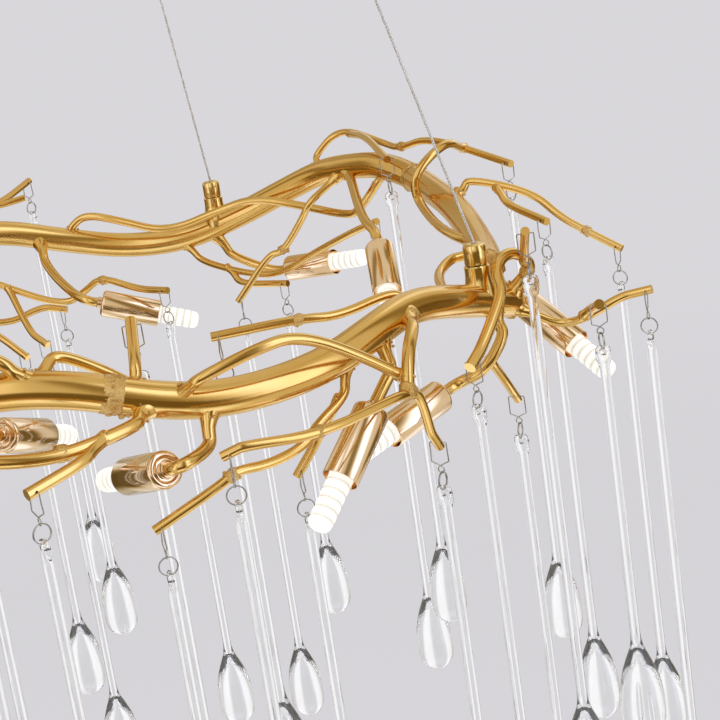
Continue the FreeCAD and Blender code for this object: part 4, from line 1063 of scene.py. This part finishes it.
class Frame:
    """The welded ring of trunk branches, thin branches and vines."""

    GRAIN_RADII = (0.0006, 0.0013)
    END_GRAINS, ROOT_GRAINS, LANDING_GRAINS, KNOT_GRAINS, SEAM_GRAINS = 14, 8, 6, 5, 46
    WELD_WIDTH = 0.003
    END_BEAD = (0.0116, 0.0116, 0.0022)
    END_BEAD_DEPTH = 0.0012
    LANDING_DEPTH = 0.002
    SLIGHT_FLARE = 0.3
    SEAM_WIDTH = 0.0128
    # Each bead under the seam: its place along the trunk, its place across it and its radius
    SEAM_BEADS = ((0.004, 0.001, 0.0034), (-0.004, -0.003, 0.003), (0, 0.004, 0.0028), (-0.0075, 0, 0.0026))

    def __init__(self, finishes: Finishes, hanging: dict[int, Hanger]) -> None:
        """Keep the finishes and the hinges, and model the patterns of the weld beads.

        Args:
            finishes: All materials.
            hanging: The hinges by the drop's number.
        """
        self.finishes = finishes
        self.hanging = hanging
        self.chance = random.Random(7)
        self.lumps = [self._bead(f"weld_lump_{number}", 3, 0.16 + number * 0.05) for number in range(3)]
        self.grains = [self._bead(f"weld_grain_{number}", 1, 0.2) for number in range(3)]

    def _bead(self, name: str, fineness: int, lumps: float) -> Piece:
        """Model a lumpy drop of weld metal of unit radius.

        Args:
            name: The bead's name.
            fineness: Subdivisions.
            lumps: How lumpy it is.

        Returns:
            The bead.
        """
        Bench.clear()
        bpy.ops.mesh.primitive_ico_sphere_add(subdivisions=fineness, radius=1.0)
        bead = bpy.context.object
        bead.name = name
        return self._roughened(bead, 0.55 - lumps * 0.4, lumps * 2.4)

    def _roughened(self, piece: Piece, grain_size: float, depth: float) -> Piece:
        """Push a piece's skin in and out like weld metal.

        Args:
            piece: The piece.
            grain_size: Size of the lumps.
            depth: Depth of the lumps.

        Returns:
            The same piece.
        """
        modifier = piece.modifiers.new("lumps", "DISPLACE")
        modifier.texture = bpy.data.textures.new(piece.name, "CLOUDS")
        modifier.texture.noise_scale = grain_size
        modifier.strength = depth
        Bench.apply(piece)
        return Bench.finish(piece, self.finishes.weld, 80)

    def _weld(self, spot: Vector, along: Vector, size: Spot, patterns: list[Piece]) -> Piece:
        """Lay a weld bead with its length along a direction.

        Args:
            spot: The bead's middle.
            along: The direction.
            size: Its radii, Z along it.
            patterns: The beads to choose from.

        Returns:
            The bead.
        """
        pattern = self.chance.choice(patterns)
        spin = Matrix.Rotation(self.chance.uniform(0, math.tau), 4, "Z")
        matrix = Matrix.Translation(spot) @ facing(along) @ Matrix.Diagonal((*size, 1.0)) @ spin
        return Bench.copy(pattern, matrix)

    def _scatter(self, seat: Vector, along: Vector, radius: float, count: int, width: float) -> list[Piece]:
        """Lay granules of weld metal round a tube.

        Args:
            seat: The middle of the weld on the tube's axis.
            along: The tube's direction.
            radius: The tube's radius at the weld.
            count: How many granules.
            width: How far the weld reaches along the tube, in lengths of its direction.

        Returns:
            The granules.
        """
        welds = []
        for _ in range(count):
            side = beside(along, self.chance.uniform(0, math.tau))
            grain = self.chance.uniform(*self.GRAIN_RADII)
            spot = seat + side * radius + along * self.chance.uniform(-0.5, 0.5) * width
            welds.append(self._weld(spot, along, (grain, grain, grain), self.grains))
        return welds

    def root(self, start: Vector, towards: Vector, radius: float, carrier: float) -> list[Piece]:
        """Weld a tube's flared foot on: granules where it leaves its carrier.

        Args:
            start: The tube's start on the carrier's axis.
            towards: The next place of its route.
            radius: The tube's radius.
            carrier: The carrier's radius.

        Returns:
            The granules.
        """
        along = (towards - start).normalized()
        spread = 1.5 if carrier > STEM_RADIUS else 1.05
        return self._scatter(start + along * carrier, along, radius * spread, self.ROOT_GRAINS, radius * 0.9)

    def _knot(self, seat: Vector, along: Vector, radius: float) -> list[Piece]:
        """Lay a rough knot of weld metal on a thin tube: a long bead, three on its sides, and granules.

        Args:
            seat: The knot's middle.
            along: The tube's direction.
            radius: The knot's radius.

        Returns:
            The beads and granules.
        """
        welds = [self._weld(seat, along, (radius * 1.12, radius * 1.12, radius * 1.5), self.lumps)]
        for share in (0.15, 0.55, 0.85):
            side = beside(along, math.tau * share)
            spot = seat + side * radius * 0.55 + along * radius * self.chance.uniform(-0.7, 0.7)
            welds.append(self._weld(spot, along, (radius * 0.6,) * 3, self.lumps))
        return welds + self._scatter(seat, along, radius * 1.05, self.KNOT_GRAINS, radius * 2)

    def _seam(self, seat: Vector, along: Vector) -> list[Piece]:
        """Lay a rough band of weld metal round two butted trunks, with granules on it and beads below it.

        Args:
            seat: The seam's middle.
            along: From the seam to the trunk's next place.

        Returns:
            The band, beads and granules.
        """
        r, half, steps = TRUNK_RADIUS * 1000, self.SEAM_WIDTH * 500, 14
        bulge = [(r * (1 + 0.04 * math.sin(math.pi * step / steps)), half * (2 * step / steps - 1))
                 for step in range(steps + 1)]
        band = Bench.turned([*bulge, (r * 0.8, half), (r * 0.8, -half)], 72, closed=True)
        self._roughened(band, 0.0024, TRUNK_RADIUS * 0.22)
        band.data.transform(Matrix.Translation(seat) @ facing(along))
        grains = self._scatter(seat, along, TRUNK_RADIUS * 1.03, self.SEAM_GRAINS, self.SEAM_WIDTH * 1.3)
        welds = [band, *grains]
        for shift, aside, size in self.SEAM_BEADS:
            under = seat + along.normalized() * shift + Vector((0, aside, -TRUNK_RADIUS * 0.93))
            welds.append(self._weld(under, along, (size, size, size * 0.8), self.lumps))
        return welds

    def _trunk(self, name: str) -> None:
        """Draw one thick branch of the ring with the welds at its ends.

        Args:
            name: The trunk's CAD node.
        """
        places = [place(*spot) for spot in TRUNK_PLACES[name]]
        radii = [TRUNK_RADIUS] * len(places)
        drawn = DRAWN_ENDS.get(name)
        if drawn is not None:
            radii[drawn] = TRUNK_END_RADIUS
        parts = [Bench.finish(Bench.tube(eased(places), radii, sides=28, steps=10), self.finishes.gold)]
        for end, inner in ((-1, -2), (0, 1)):
            along = (places[end] - places[inner]).normalized()
            if end != drawn:
                parts.append(self._weld(places[end] - along * self.END_BEAD_DEPTH, along, self.END_BEAD, self.lumps))
            parts += self._scatter(places[end], along, radii[end] * 0.94, self.END_GRAINS, self.WELD_WIDTH)
        if name == "trunk_front_left":
            parts += self._seam(places[0], places[1] - places[0])
        keep(name + "_cast", parts, "frame", Slot.SATIN_GOLD, name)

    def _thin(self, branch: Branch) -> list[Piece]:
        """Draw a thin branch with its welds and drilled ends.

        Args:
            branch: The branch.

        Returns:
            Its tube, beads and granules.
        """
        places = [place(*spot) for spot in branch.places]
        points, radii = eased(places), [branch.radius] * len(places)
        if branch.rooted:
            slight = branch.on <= STEM_RADIUS or (branch.lands and branch.radius < STEM_RADIUS)
            points, radii = flared(places, branch.radius, branch.on, self.SLIGHT_FLARE if slight else branch.flare)
        if branch.drop:
            points = straight_end(points)
        if branch.first_drop:
            points = straight_end(points[::-1])[::-1]
        radii += [branch.radius] * (len(points) - len(radii))
        tube = Bench.tube(points, radii, sides=18, steps=6)
        for number in filter(None, (branch.first_drop, branch.drop)):
            hinge = self.hanging[number]
            Bench.drill(tube, hinge.centre, hinge.axis, HOLE_RADIUS, branch.radius * 3)
        parts = [Bench.finish(tube, self.finishes.gold)]
        if branch.rooted:
            parts += self.root(places[0], places[1], branch.radius, branch.on)
        if branch.lands:
            along = (places[-1] - places[-2]).normalized()
            spot = places[-1] - along * self.LANDING_DEPTH
            parts.append(self._weld(spot, along, (branch.radius * 1.25,) * 3, self.lumps))
            skin = places[-1] - along * TRUNK_RADIUS * 0.9
            parts += self._scatter(skin, along, branch.radius, self.LANDING_GRAINS, self.WELD_WIDTH)
        return parts

    def build(self) -> None:
        """Draw the whole welded frame."""
        for name in TRUNK_PLACES:
            self._trunk(name)
        for name, branches in BRANCHES.items():
            parts = [part for branch in branches for part in self._thin(branch)]
            for spot, towards, radius in KNOTS.get(name, ()):
                seat = place(*spot)
                parts += self._knot(seat, (place(*towards) - seat).normalized(), radius)
            keep(name + "_cast", parts, "frame", Slot.SATIN_GOLD, name)


# Lamps

# Each lamp: the place of its sleeve's foot, its azimuth and elevation, and the places of its arm from the trunk on
LAMPS: list[tuple[Spot, tuple[float, float], tuple[Spot, ...]]] = [
    ((-53, 1.031, -0.129), (-130, -38.5), ((-48.5, 0.985, 0), (-49.3, 1.02, -0.065))),
    ((-76.5, 1.047, -0.125), (125, -15), ((-70.5, 1, -0.03), (-72, 1.04, -0.1))),
    ((-32, 0.905, -0.22), (-142, -13), ((-25, 0.995, -0.053), (-27, 1.02, -0.116), (-29, 0.985, -0.18))),
    ((-10, 1.014, -0.129), (-49.5, -32), ((-13, 0.942, 0.008), (-12, 0.96, -0.06))),
    ((18, 0.734, -0.029), (-89, -34), ((47.5, 0.97, 0.1), (30, 0.775, 0.025))),
    ((62.5, 0.98, -0.176), (-33, 6), ((76, 1, -0.045), (72.5, 1, -0.13))),
    ((94.6, 0.643, -0.148), (0, -19.5), ((104, 1, 0), (104, 0.905, -0.056), (102.6, 0.78, -0.095))),
    ((-97, 0.74, -0.096), (69, -19), ((-97, 1, 0.05), (-97.5, 0.9, -0.05))),
    ((-113, 1.06, -0.14), (-30, -25), ((-112, 0.98, 0.01), (-112, 1.01, -0.07))),
    ((-150, 0.9, -0.14), (20, -20), ((-151, 0.99, 0.04), (-150.5, 0.96, -0.06))),
    ((-181, 1.06, -0.15), (-205, -30), ((-180, 1, -0.02), (-180.5, 1.02, -0.09))),
    ((-206, 0.88, -0.1), (-60, -20), ((-202, 0.975, 0.016), (-204, 0.93, -0.05))),
]


@dataclass
class Lamp:
    """A capsule lamp in a metal sleeve, in millimetres, in its own frame with Z along the sleeve."""

    finishes: Finishes
    sleeve_radius: float = 11.3
    sleeve_wall: float = 0.8
    sleeve_end: float = 54.0
    boss_height: float = 4.0
    boss_radius: float = 5.0
    floor: float = 5.6
    holder_height: float = 12.0
    play: float = 0.3
    arm_run: float = 12.5
    arm_overlap: float = 1.0
    base_radius: float = 6.2
    bulb_radius: float = 7.6
    bulb_start: float = 8.9
    bulb_end: float = 87.9
    rib_pitch: float = 6.2
    rib_depth: float = 0.7

    def sleeve(self) -> Piece:
        """Spin the sleeve with its recessed back and boss.

        Returns:
            The sleeve.
        """
        r, wall, end = self.sleeve_radius, self.sleeve_wall, self.sleeve_end
        h, boss, soft, shoulder = self.boss_height, self.boss_radius, 0.5, 2.8
        rounding = [(r - shoulder * (1 - math.sin(turn)), h + shoulder * (1 - math.cos(turn)))
                    for turn in arc(0, 90, 10)]
        return Bench.spun([
            (0, 0), (boss - soft, 0), (boss, soft), (boss, h * 0.5), (boss - soft, h * 0.56),
            (boss - soft, h * 0.64), (boss, h * 0.7), (boss, h + 0.6), (boss + soft, h + 1),
            (r - 4.2, h + 1), (r - 3.6, h + 0.7), (r - 3.3, h + 0.1), *rounding,
            (r, end - soft * 0.7), (r - soft * 0.3, end - soft * 0.2), (r - wall * 0.5, end),
            (r - wall + soft * 0.2, end - soft * 0.2), (r - wall, end - soft * 0.7), (r - wall, self.floor),
            (0, self.floor),
        ], self.finishes.rose, 64, 40)

    def holder(self) -> Piece:
        """Spin the ceramic holder with its well.

        Returns:
            The holder.
        """
        low = self.floor + self.play
        top = low + self.holder_height
        return Bench.spun([
            (0, low), (8.4, low), (9.2, low + 0.8), (9.2, top - 0.8), (8.4, top), (7.6, top), (7.2, top - 0.4),
            (7.2, low + 3), (0, low + 3),
        ], self.finishes.ceramic, 40, 40)

    def bulb(self) -> Piece:
        """Spin the ribbed bulb and note how far each place stands out on its ribs, as the mask for the painted shade in
        its grooves.

        Returns:
            The bulb with its "rib" attribute.
        """
        r, groove, end = self.bulb_radius, self.bulb_radius - self.rib_depth, self.bulb_end
        shoulder = self.floor + self.holder_height + self.play * 2
        base, start = self.base_radius, self.bulb_start
        outline = [(0, start), (base, start), (base, shoulder), (groove, shoulder)]
        level, dome = shoulder + 1, end - 6
        while level + self.rib_pitch < dome:
            for share, out in ((0.08, 0.35), (0.22, 0.85), (0.5, 1), (0.78, 0.85), (0.92, 0.35), (1, 0)):
                outline.append((groove + self.rib_depth * out, level + self.rib_pitch * share))
            level += self.rib_pitch
        outline += [(r - 0.4, level + 0.8), (r - 0.2, dome), (r - 0.7, end - 2.8), (r - 2.2, end - 0.9), (r - 4.5, end),
                    (0, end)]
        made = Bench.spun(outline, self.finishes.glow, 36, 60)
        # The rib attribute is the mask of the painted groove shade: 0 in a groove, 1 on a rib and 0.9 on the dome.
        rib = made.data.attributes.new("rib", "FLOAT", "POINT")
        for vertex, value in zip(made.data.vertices, rib.data):
            reach = (vertex.co.xy.length * 1000 - groove) / self.rib_depth
            value.value = max(0.0, min(1.0, reach)) if vertex.co.z * 1000 < dome - 0.1 else 0.9
        return made

    def build(self, welded: Frame) -> None:
        """Place every lamp with its arm.

        Args:
            welded: The frame, which lays the welds of the arms.
        """
        patterns = {
            "lamp_sleeves": (self.sleeve(), Slot.ROSE_GOLD),
            "lampholders": (self.holder(), Slot.WHITE_CERAMIC),
            "bulbs": (self.bulb(), Slot.FROSTED_LAMP),
        }
        arms: list[Piece] = []
        copies: dict[str, list[Piece]] = {name: [] for name in patterns}
        for spot, aim, route in LAMPS:
            forward = heading(*aim)
            boss = place(*spot) - forward * (self.boss_height / 1000)
            ends = [boss + forward * (run / 1000) for run in (-self.arm_run, self.arm_overlap)]
            points = [place(*share) for share in route] + ends
            arm = Bench.tube(*flared(points, STEM_RADIUS, TRUNK_RADIUS, 1.0), sides=18, steps=6)
            arms.append(Bench.finish(arm, self.finishes.gold))
            arms += welded.root(points[0], points[1], STEM_RADIUS, TRUNK_RADIUS)
            for name, (pattern, _) in patterns.items():
                copies[name].append(Bench.copy(pattern, Matrix.Translation(boss) @ facing(forward)))
        for name, (pattern, slot) in patterns.items():
            Bench.remove(pattern)
            keep(name + "_turned", copies[name], "frame", slot, name)
        keep("lamp_arms_bent", arms, "frame", Slot.SATIN_GOLD, "lamp_arms")


# Drops


@dataclass
class Drop:
    """A glass rod on a split ring and a wire clip, in millimetres, in the hinge's frame with X along the hinge."""

    finishes: Finishes
    clip_half_width: float = 5.6
    clip_wire: float = 0.4
    clip_corner: float = -12.3
    crossing: float = -14.7
    loop_centre: float = -17.4
    loop_radius: float = 2.288
    ring_radius: float = 5.6
    ring_wire: float = 0.42
    ring_level: float = -24.4
    eye_level: float = -31.8
    eye_radius: float = 2.3
    neck: float = -42.8
    paddle_top: float = -27.5
    paddle_half_width: float = 5.3
    rod_radius: float = 3.4

    def clip(self) -> Piece:
        """Bend the wire: through the tip, down two legs that pass each other, and round a small loop.

        Returns:
            The clip.
        """
        half, corner = self.clip_half_width, self.clip_corner
        leg = [(half - 1.2, 0), (half, 0), (half, -1.2), (half, -6), (half, corner + 1.4), (half, corner),
               (half - 1.3, corner - 0.4), (0, self.crossing)]
        loop = [(self.loop_radius * math.cos(turn), self.loop_centre + self.loop_radius * math.sin(turn))
                for turn in map(math.radians, (150, 180, 215, 248, 270, 292, 325, 360, 390))]
        flat = [(0, 0), *leg, *loop, *[(-x, z) for x, z in reversed(leg)]]
        aside = [0] * 5 + [1] * 8 + [0] + [-1] * 8 + [0] * 4
        points = [Vector((x, self.clip_wire * side, z)) / 1000 for (x, z), side in zip(flat, aside)]
        return Bench.tube(points, [self.clip_wire / 1000] * len(points), sides=8, steps=4, closed=True)

    def ring(self) -> Piece:
        """Wind the split ring, two turns side by side.

        Returns:
            The ring.
        """
        points = []
        for share in (step / 40 for step in range(41)):
            turn = math.tau * 2 * share
            across, level = self.ring_radius * math.sin(turn), self.ring_level + self.ring_radius * math.cos(turn)
            points.append(Vector((self.ring_wire * (2 * share - 1), across, level)) / 1000)
        return Bench.tube(points, [self.ring_wire / 1000] * len(points), sides=8, steps=2)

    def glass(self, reach: float) -> Piece:
        """Spin the rod with its drop-shaped end, flatten its head and pierce it.

        Args:
            reach: How far the tip is below the hinge, in metres.

        Returns:
            The glass piece.
        """
        r, wide, top, neck = self.rod_radius, self.paddle_half_width, self.paddle_top, self.neck
        tear = [(0, 0), (5, 0.7), (8.6, 2.6), (11.6, 5.6), (13.9, 9.8), (15.1, 14), (15.5, 19), (15.5, 27), (15.2, 33),
                (14.5, 40), (13.4, 45.5), (12, 50.5), (10.2, 55.5), (8.2, 60.5), (6.2, 65), (4.6, 69.5), (3.8, 74),
                (3.45, 80)]
        head = [(r, neck - 100), (r, neck - 20), (r, neck), (r * 1.12, neck + 1.6), (wide * 0.84, neck + 3.5),
                (wide * 0.97, neck + 5.2), (wide, neck + 7.5), (wide, self.eye_level + 0.8), (wide * 0.93, top - 1.6),
                (wide * 0.72, top - 0.5), (wide * 0.4, top), (0, top)]
        made = Bench.turned([(across, rise - reach * 1000) for across, rise in tear] + head, 28)
        for low, high, share in ((1, 3, 0.86), (3, 4.5, 0.62), (4.5, 6.5, 0.45), (6.5, -neck, 0.38)):
            Bench.squeeze(made, (neck + low) / 1000, (neck + high) / 1000, share)
        Bench.drill(made, Vector((0, 0, self.eye_level / 1000)), Vector((0, 1, 0)), self.eye_radius / 1000, 0.02, 20)
        return Bench.finish(made, self.finishes.glass, 40)

    def build(self, hanging: dict[int, Hanger]) -> None:
        """Hang every drop, with the glass of the length that its CAD node has.

        Args:
            hanging: The hinges by the drop's number.
        """
        wire = Bench.finish(Bench.join("wire", [self.clip(), self.ring()]), self.finishes.steel, 50)
        glasses: dict[float, Piece] = {}
        for number, hanger in hanging.items():
            body = f"drop_{number:02d}"
            reach = round(hanger.centre.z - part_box(body)[0].z, 4)
            if reach not in glasses:
                glasses[reach] = self.glass(reach)
            matrix = hanger.matrix()
            keep(body + "_wire", [Bench.copy(wire, matrix)], body, Slot.BARE_STEEL)
            keep(body + "_glass", [Bench.copy(glasses[reach], matrix)], body, Slot.CLEAR_GLASS, body)
        Bench.remove(wire, *glasses.values())


# Suspension and ceiling


def above(spot: Vector, height: float) -> Vector:
    """Return the place at a height above another."""
    return spot + Vector((0, 0, height))


@dataclass
class Suspension:
    """Sockets, caps, stranded cables and grippers. Outlines are in millimetres and fields in metres."""

    finishes: Finishes
    azimuths: tuple[float, ...] = (-26.5, 75.0, -160.5)
    hold_radius: float = 0.158
    canopy_height: float = 0.028
    cap_search: float = 0.05
    cap_height: float = 0.0145
    cap_roof: float = 0.003
    stop_height: float = 0.006
    gripper_top: float = 0.008
    tail_radius: float = 0.0009
    strands: int = 6
    strand_centre: float = 0.00088
    strand_depth: float = 0.00015
    lay_length: float = 0.011

    def _spots(self) -> list[tuple[Vector, Vector]]:
        """Return where each cable leaves its cap, read from the CAD caps, and where it meets its gripper.

        Returns:
            The place on the cap and the place under the canopy, for each cable.
        """
        found = []
        for azimuth in self.azimuths:
            aim = heading(azimuth, 0).xy * RING_RADIUS
            corners = [vertex.co for vertex in frame["nodes"]["socket_caps"].data.vertices
                       if (vertex.co.xy - aim).length < self.cap_search]
            low, high = (Vector([pick(side) for side in zip(*corners)]) for pick in (min, max))
            cap = Vector(((low.x + high.x) / 2, (low.y + high.y) / 2, high.z))
            hold = cap.xy.normalized() * self.hold_radius
            found.append((cap, Vector((hold.x, hold.y, -self.canopy_height - SEAT_GAP))))
        return found

    def socket(self) -> Piece:
        """Spin the socket, its foot hidden in the trunk; height 0 is its top."""
        return Bench.spun([
            (0, -26), (10.8, -26), (10.8, -22.5), (10.4, -18.2), (9.6, -14.2), (8.9, -10.8), (8.5, -7.8), (8.4, -5.5),
            (8.4, -0.8), (7.8, 0), (5.6, 0), (5.4, -0.3), (5.4, -11), (0, -11),
        ], self.finishes.brass)

    def cap(self) -> Piece:
        """Spin the cap with its grooves; height 0 is its foot."""
        return Bench.spun([
            (5.2, 0), (7.1, 0), (7.5, 0.4), (7.5, 0.8), (7.7, 1.2), (7.7, 12), (7.2, 13.3), (5.8, 14.2), (2.8, 14.5),
            (1.9, 14.2), (1.9, 11.5), (5.2, 11.3),
        ], self.finishes.brass, closed=True)

    def gripper(self) -> Piece:
        """Spin the cable gripper; height 0 is the canopy's face."""
        return Bench.spun([
            (1.9, 8), (3.9, 8), (3.9, 0), (6.8, 0), (7.5, -0.7), (7.5, -2.3), (6.8, -3), (4.6, -3.2), (4.6, -12.5),
            (4.2, -12.9), (4.6, -13.3), (4.6, -19.5), (4.1, -21.2), (3, -23.5), (2.4, -24), (1.9, -23.8),
        ], self.finishes.chrome, closed=True)

    def stop(self) -> Piece:
        """Spin the crimped stop of a cable's end; height 0 is its foot."""
        outline = [(0, 0), (2.2, 0), (2.6, 0.4), (2.4, 3), (2.6, 5.6), (2.2, 6), (0, 6)]
        return Bench.spun(outline, self.finishes.strand, 24, 40)

    def cable(self, low: Vector, high: Vector, steps: int = 260) -> Piece:
        """Twist a lobed section into a stranded cable between two points.

        Args:
            low: Its lower end.
            high: Its upper end.
            steps: Divisions along it.

        Returns:
            The cable.
        """
        lobes = []
        for turn in (math.tau * number / (self.strands * 4) for number in range(self.strands * 4)):
            reach = self.strand_centre + self.strand_depth * math.cos(turn * self.strands)
            lobes.append(Vector((reach * math.cos(turn), reach * math.sin(turn), 0)))
        section = Bench.line("POLY", lobes)
        section.data.splines[0].use_cyclic_u = True
        path = Bench.line("POLY", [low.lerp(high, step / steps) for step in range(steps + 1)])
        for step, point in enumerate(path.data.splines[0].points):
            point.tilt = step / steps * (high - low).length / self.lay_length * math.tau
        path.data.bevel_mode = "OBJECT"
        path.data.bevel_object = section
        path.data.use_fill_caps = True
        Bench.pick(path)
        bpy.ops.object.convert(target="MESH")
        made = bpy.context.object
        Bench.remove(section)
        return Bench.finish(made, self.finishes.strand, 60)

    def build(self) -> None:
        """Place the three hangers."""
        sockets, caps, grippers, cables = [], [], [], []
        socket, cap, gripper, stop = self.socket(), self.cap(), self.gripper(), self.stop()
        for top, hold in self._spots():
            foot = above(top, -self.cap_height)
            sockets.append(Bench.copy(socket, Matrix.Translation(above(foot, -SEAT_GAP))))
            caps.append(Bench.copy(cap, Matrix.Translation(foot)))
            grippers.append(Bench.copy(gripper, Matrix.Translation(hold)))
            low_stop = above(top, -self.cap_roof - SEAT_GAP - self.stop_height)
            high_stop = above(hold, self.gripper_top + SEAT_GAP)
            low_end, high_end = above(top, 0.001), above(hold, -0.025)
            cables.append(self.cable(low_end, high_end))
            for start, end in ((low_stop, low_end), (high_end, above(high_stop, 0.004))):
                tail = Bench.tube([start, start.lerp(end, 0.5), end], [self.tail_radius] * 3, sides=12)
                cables.append(Bench.dress(tail, self.finishes.strand))
            cables += [Bench.copy(stop, Matrix.Translation(spot)) for spot in (low_stop, high_stop)]
        Bench.remove(socket, cap, gripper, stop)
        keep("suspension_cables_twisted", cables, "frame", Slot.BARE_STEEL, "suspension_cables")
        keep("cable_sockets_turned", sockets, "frame", Slot.BRIGHT_BRASS, "cable_sockets")
        keep("socket_caps_turned", caps, "frame", Slot.BRIGHT_BRASS, "socket_caps")
        keep("cable_grippers_turned", grippers, "frame", Slot.POLISHED_CHROME, "cable_grippers")


@dataclass
class Ceiling:
    """The canopy, its nuts, studs and lead gland, in millimetres."""

    finishes: Finishes
    radius: float = 180.0
    height: float = 28.0
    wall: float = 1.2
    edge: float = 6.0
    stud_reach: float = 100.0
    stud_radius: float = 2.0
    pitch: float = 0.7
    thread_depth: float = 0.4
    knurls: int = 20
    knurl_circle: float = 5.7
    knurl_level: float = -2.9
    knurl_radius: float = 0.4
    knurl_length: float = 3.2

    def canopy(self) -> Piece:
        """Spin the dish with its rounded edge and rolled rim.

        Returns:
            The dish.
        """
        r, h, w, e = self.radius, self.height, self.wall, self.edge
        outer = [(r - e + e * math.sin(turn), -h + e - e * math.cos(turn)) for turn in arc(0, 90, 15)]
        inner = [(r - e + (e - w) * math.sin(turn), -h + e - (e - w) * math.cos(turn)) for turn in arc(90, 0, -15)]
        return Bench.spun([
            (0, -h), (r * 0.5, -h), *outer, (r, -0.8), (r - 0.3, 0), (r - w + 0.3, 0), (r - w, -0.8), *inner,
            (r * 0.5, -h + w), (0, -h + w),
        ], self.finishes.canopy, 144)

    def nut(self) -> Piece:
        """Spin the domed nut and knurl its edge; height 0 is the canopy's face.

        Returns:
            The nut.
        """
        made = Bench.turned([
            (2.4, -0.4), (5, -0.4), (5.5, -0.9), (5.5, -4.8), (5.1, -5.6), (4.4, -7.2), (3, -8.5), (1.2, -9.1),
            (0, -9.3), (0, -7.3), (2.4, -7.3),
        ], closed=True)
        for number in range(self.knurls):
            spot = above(heading(360 * number / self.knurls, 0) * self.knurl_circle, self.knurl_level) / 1000
            Bench.drill(made, spot, Vector((0, 0, 1)), self.knurl_radius / 1000, self.knurl_length / 1000, 6)
        return Bench.finish(made, self.finishes.brass, 30)

    def gland(self) -> Piece:
        """Spin the lead gland against the canopy's face."""
        top = -self.height - 0.3
        return Bench.spun([
            (3, top + 18), (4.5, top + 18), (5, top + 17.4), (5, top), (8, top), (8.5, top - 0.5), (8.5, top - 1.7),
            (7.2, top - 2.5), (3.5, top - 2.5), (3, top - 2),
        ], self.finishes.inlet, closed=True)

    def stud(self) -> Piece:
        """Cut a threaded stud as a row of turned grooves.

        Returns:
            The stud on the axis.
        """
        low, high = (corner.z * 1000 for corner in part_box("canopy_studs"))
        r, core = self.stud_radius, self.stud_radius - self.thread_depth
        outline, level = [(0, low), (core, low)], low + 0.2
        while level + self.pitch < high:
            outline += [(r, level + self.pitch * 0.35), (core, level + self.pitch * 0.85)]
            level += self.pitch
        return Bench.spun([*outline, (core, high), (0, high)], self.finishes.zinc, 20)

    def _pair(self, name: str, pattern: Piece, level: float, slot: Slot, node: str) -> None:
        """Place a pattern at both studs.

        Args:
            name: The kept piece's name.
            pattern: The pattern, which is taken away.
            level: Its height.
            slot: The record's material slot.
            node: The CAD node that it replaces.
        """
        spots = [Vector((side * self.stud_reach, 0, level)) / 1000 for side in (-1, 1)]
        keep(name, [Bench.copy(pattern, Matrix.Translation(spot)) for spot in spots], "frame", slot, node)
        Bench.remove(pattern)

    def build(self) -> None:
        """Place the ceiling's pieces and dress the CAD bracket and block."""
        keep("canopy_cover_spun", [self.canopy()], "frame", Slot.PAINTED_CANOPY, "canopy_cover")
        self._pair("canopy_nuts_turned", self.nut(), -self.height, Slot.BRIGHT_BRASS, "canopy_nuts")
        keep("lead_gland_turned", [self.gland()], "frame", Slot.CLEAR_PLASTIC, "lead_gland")
        self._pair("canopy_studs_threaded", self.stud(), 0.0, Slot.ZINC_STEEL, "canopy_studs")
        for node, material in (("ceiling_bracket", self.finishes.zinc), ("terminal_block", self.finishes.plastic)):
            Bench.dress(frame["nodes"][node], material)


def main() -> None:
    """Build the whole chandelier."""
    logging.basicConfig(level=logging.INFO, format="%(name)s %(message)s")
    bpy.context.scene.view_settings.view_transform = "Standard"
    Viewpoint().build()
    Studio().build()
    finishes = Finishes()
    hanging = hangers()
    welded = Frame(finishes, hanging)
    welded.build()
    Lamp(finishes).build(welded)
    Drop(finishes).build(hanging)
    Suspension(finishes).build()
    Ceiling(finishes).build()
    Bench.remove(*welded.lumps, *welded.grains)
    Bench.clear()


if __name__ == "__main__":
    main()
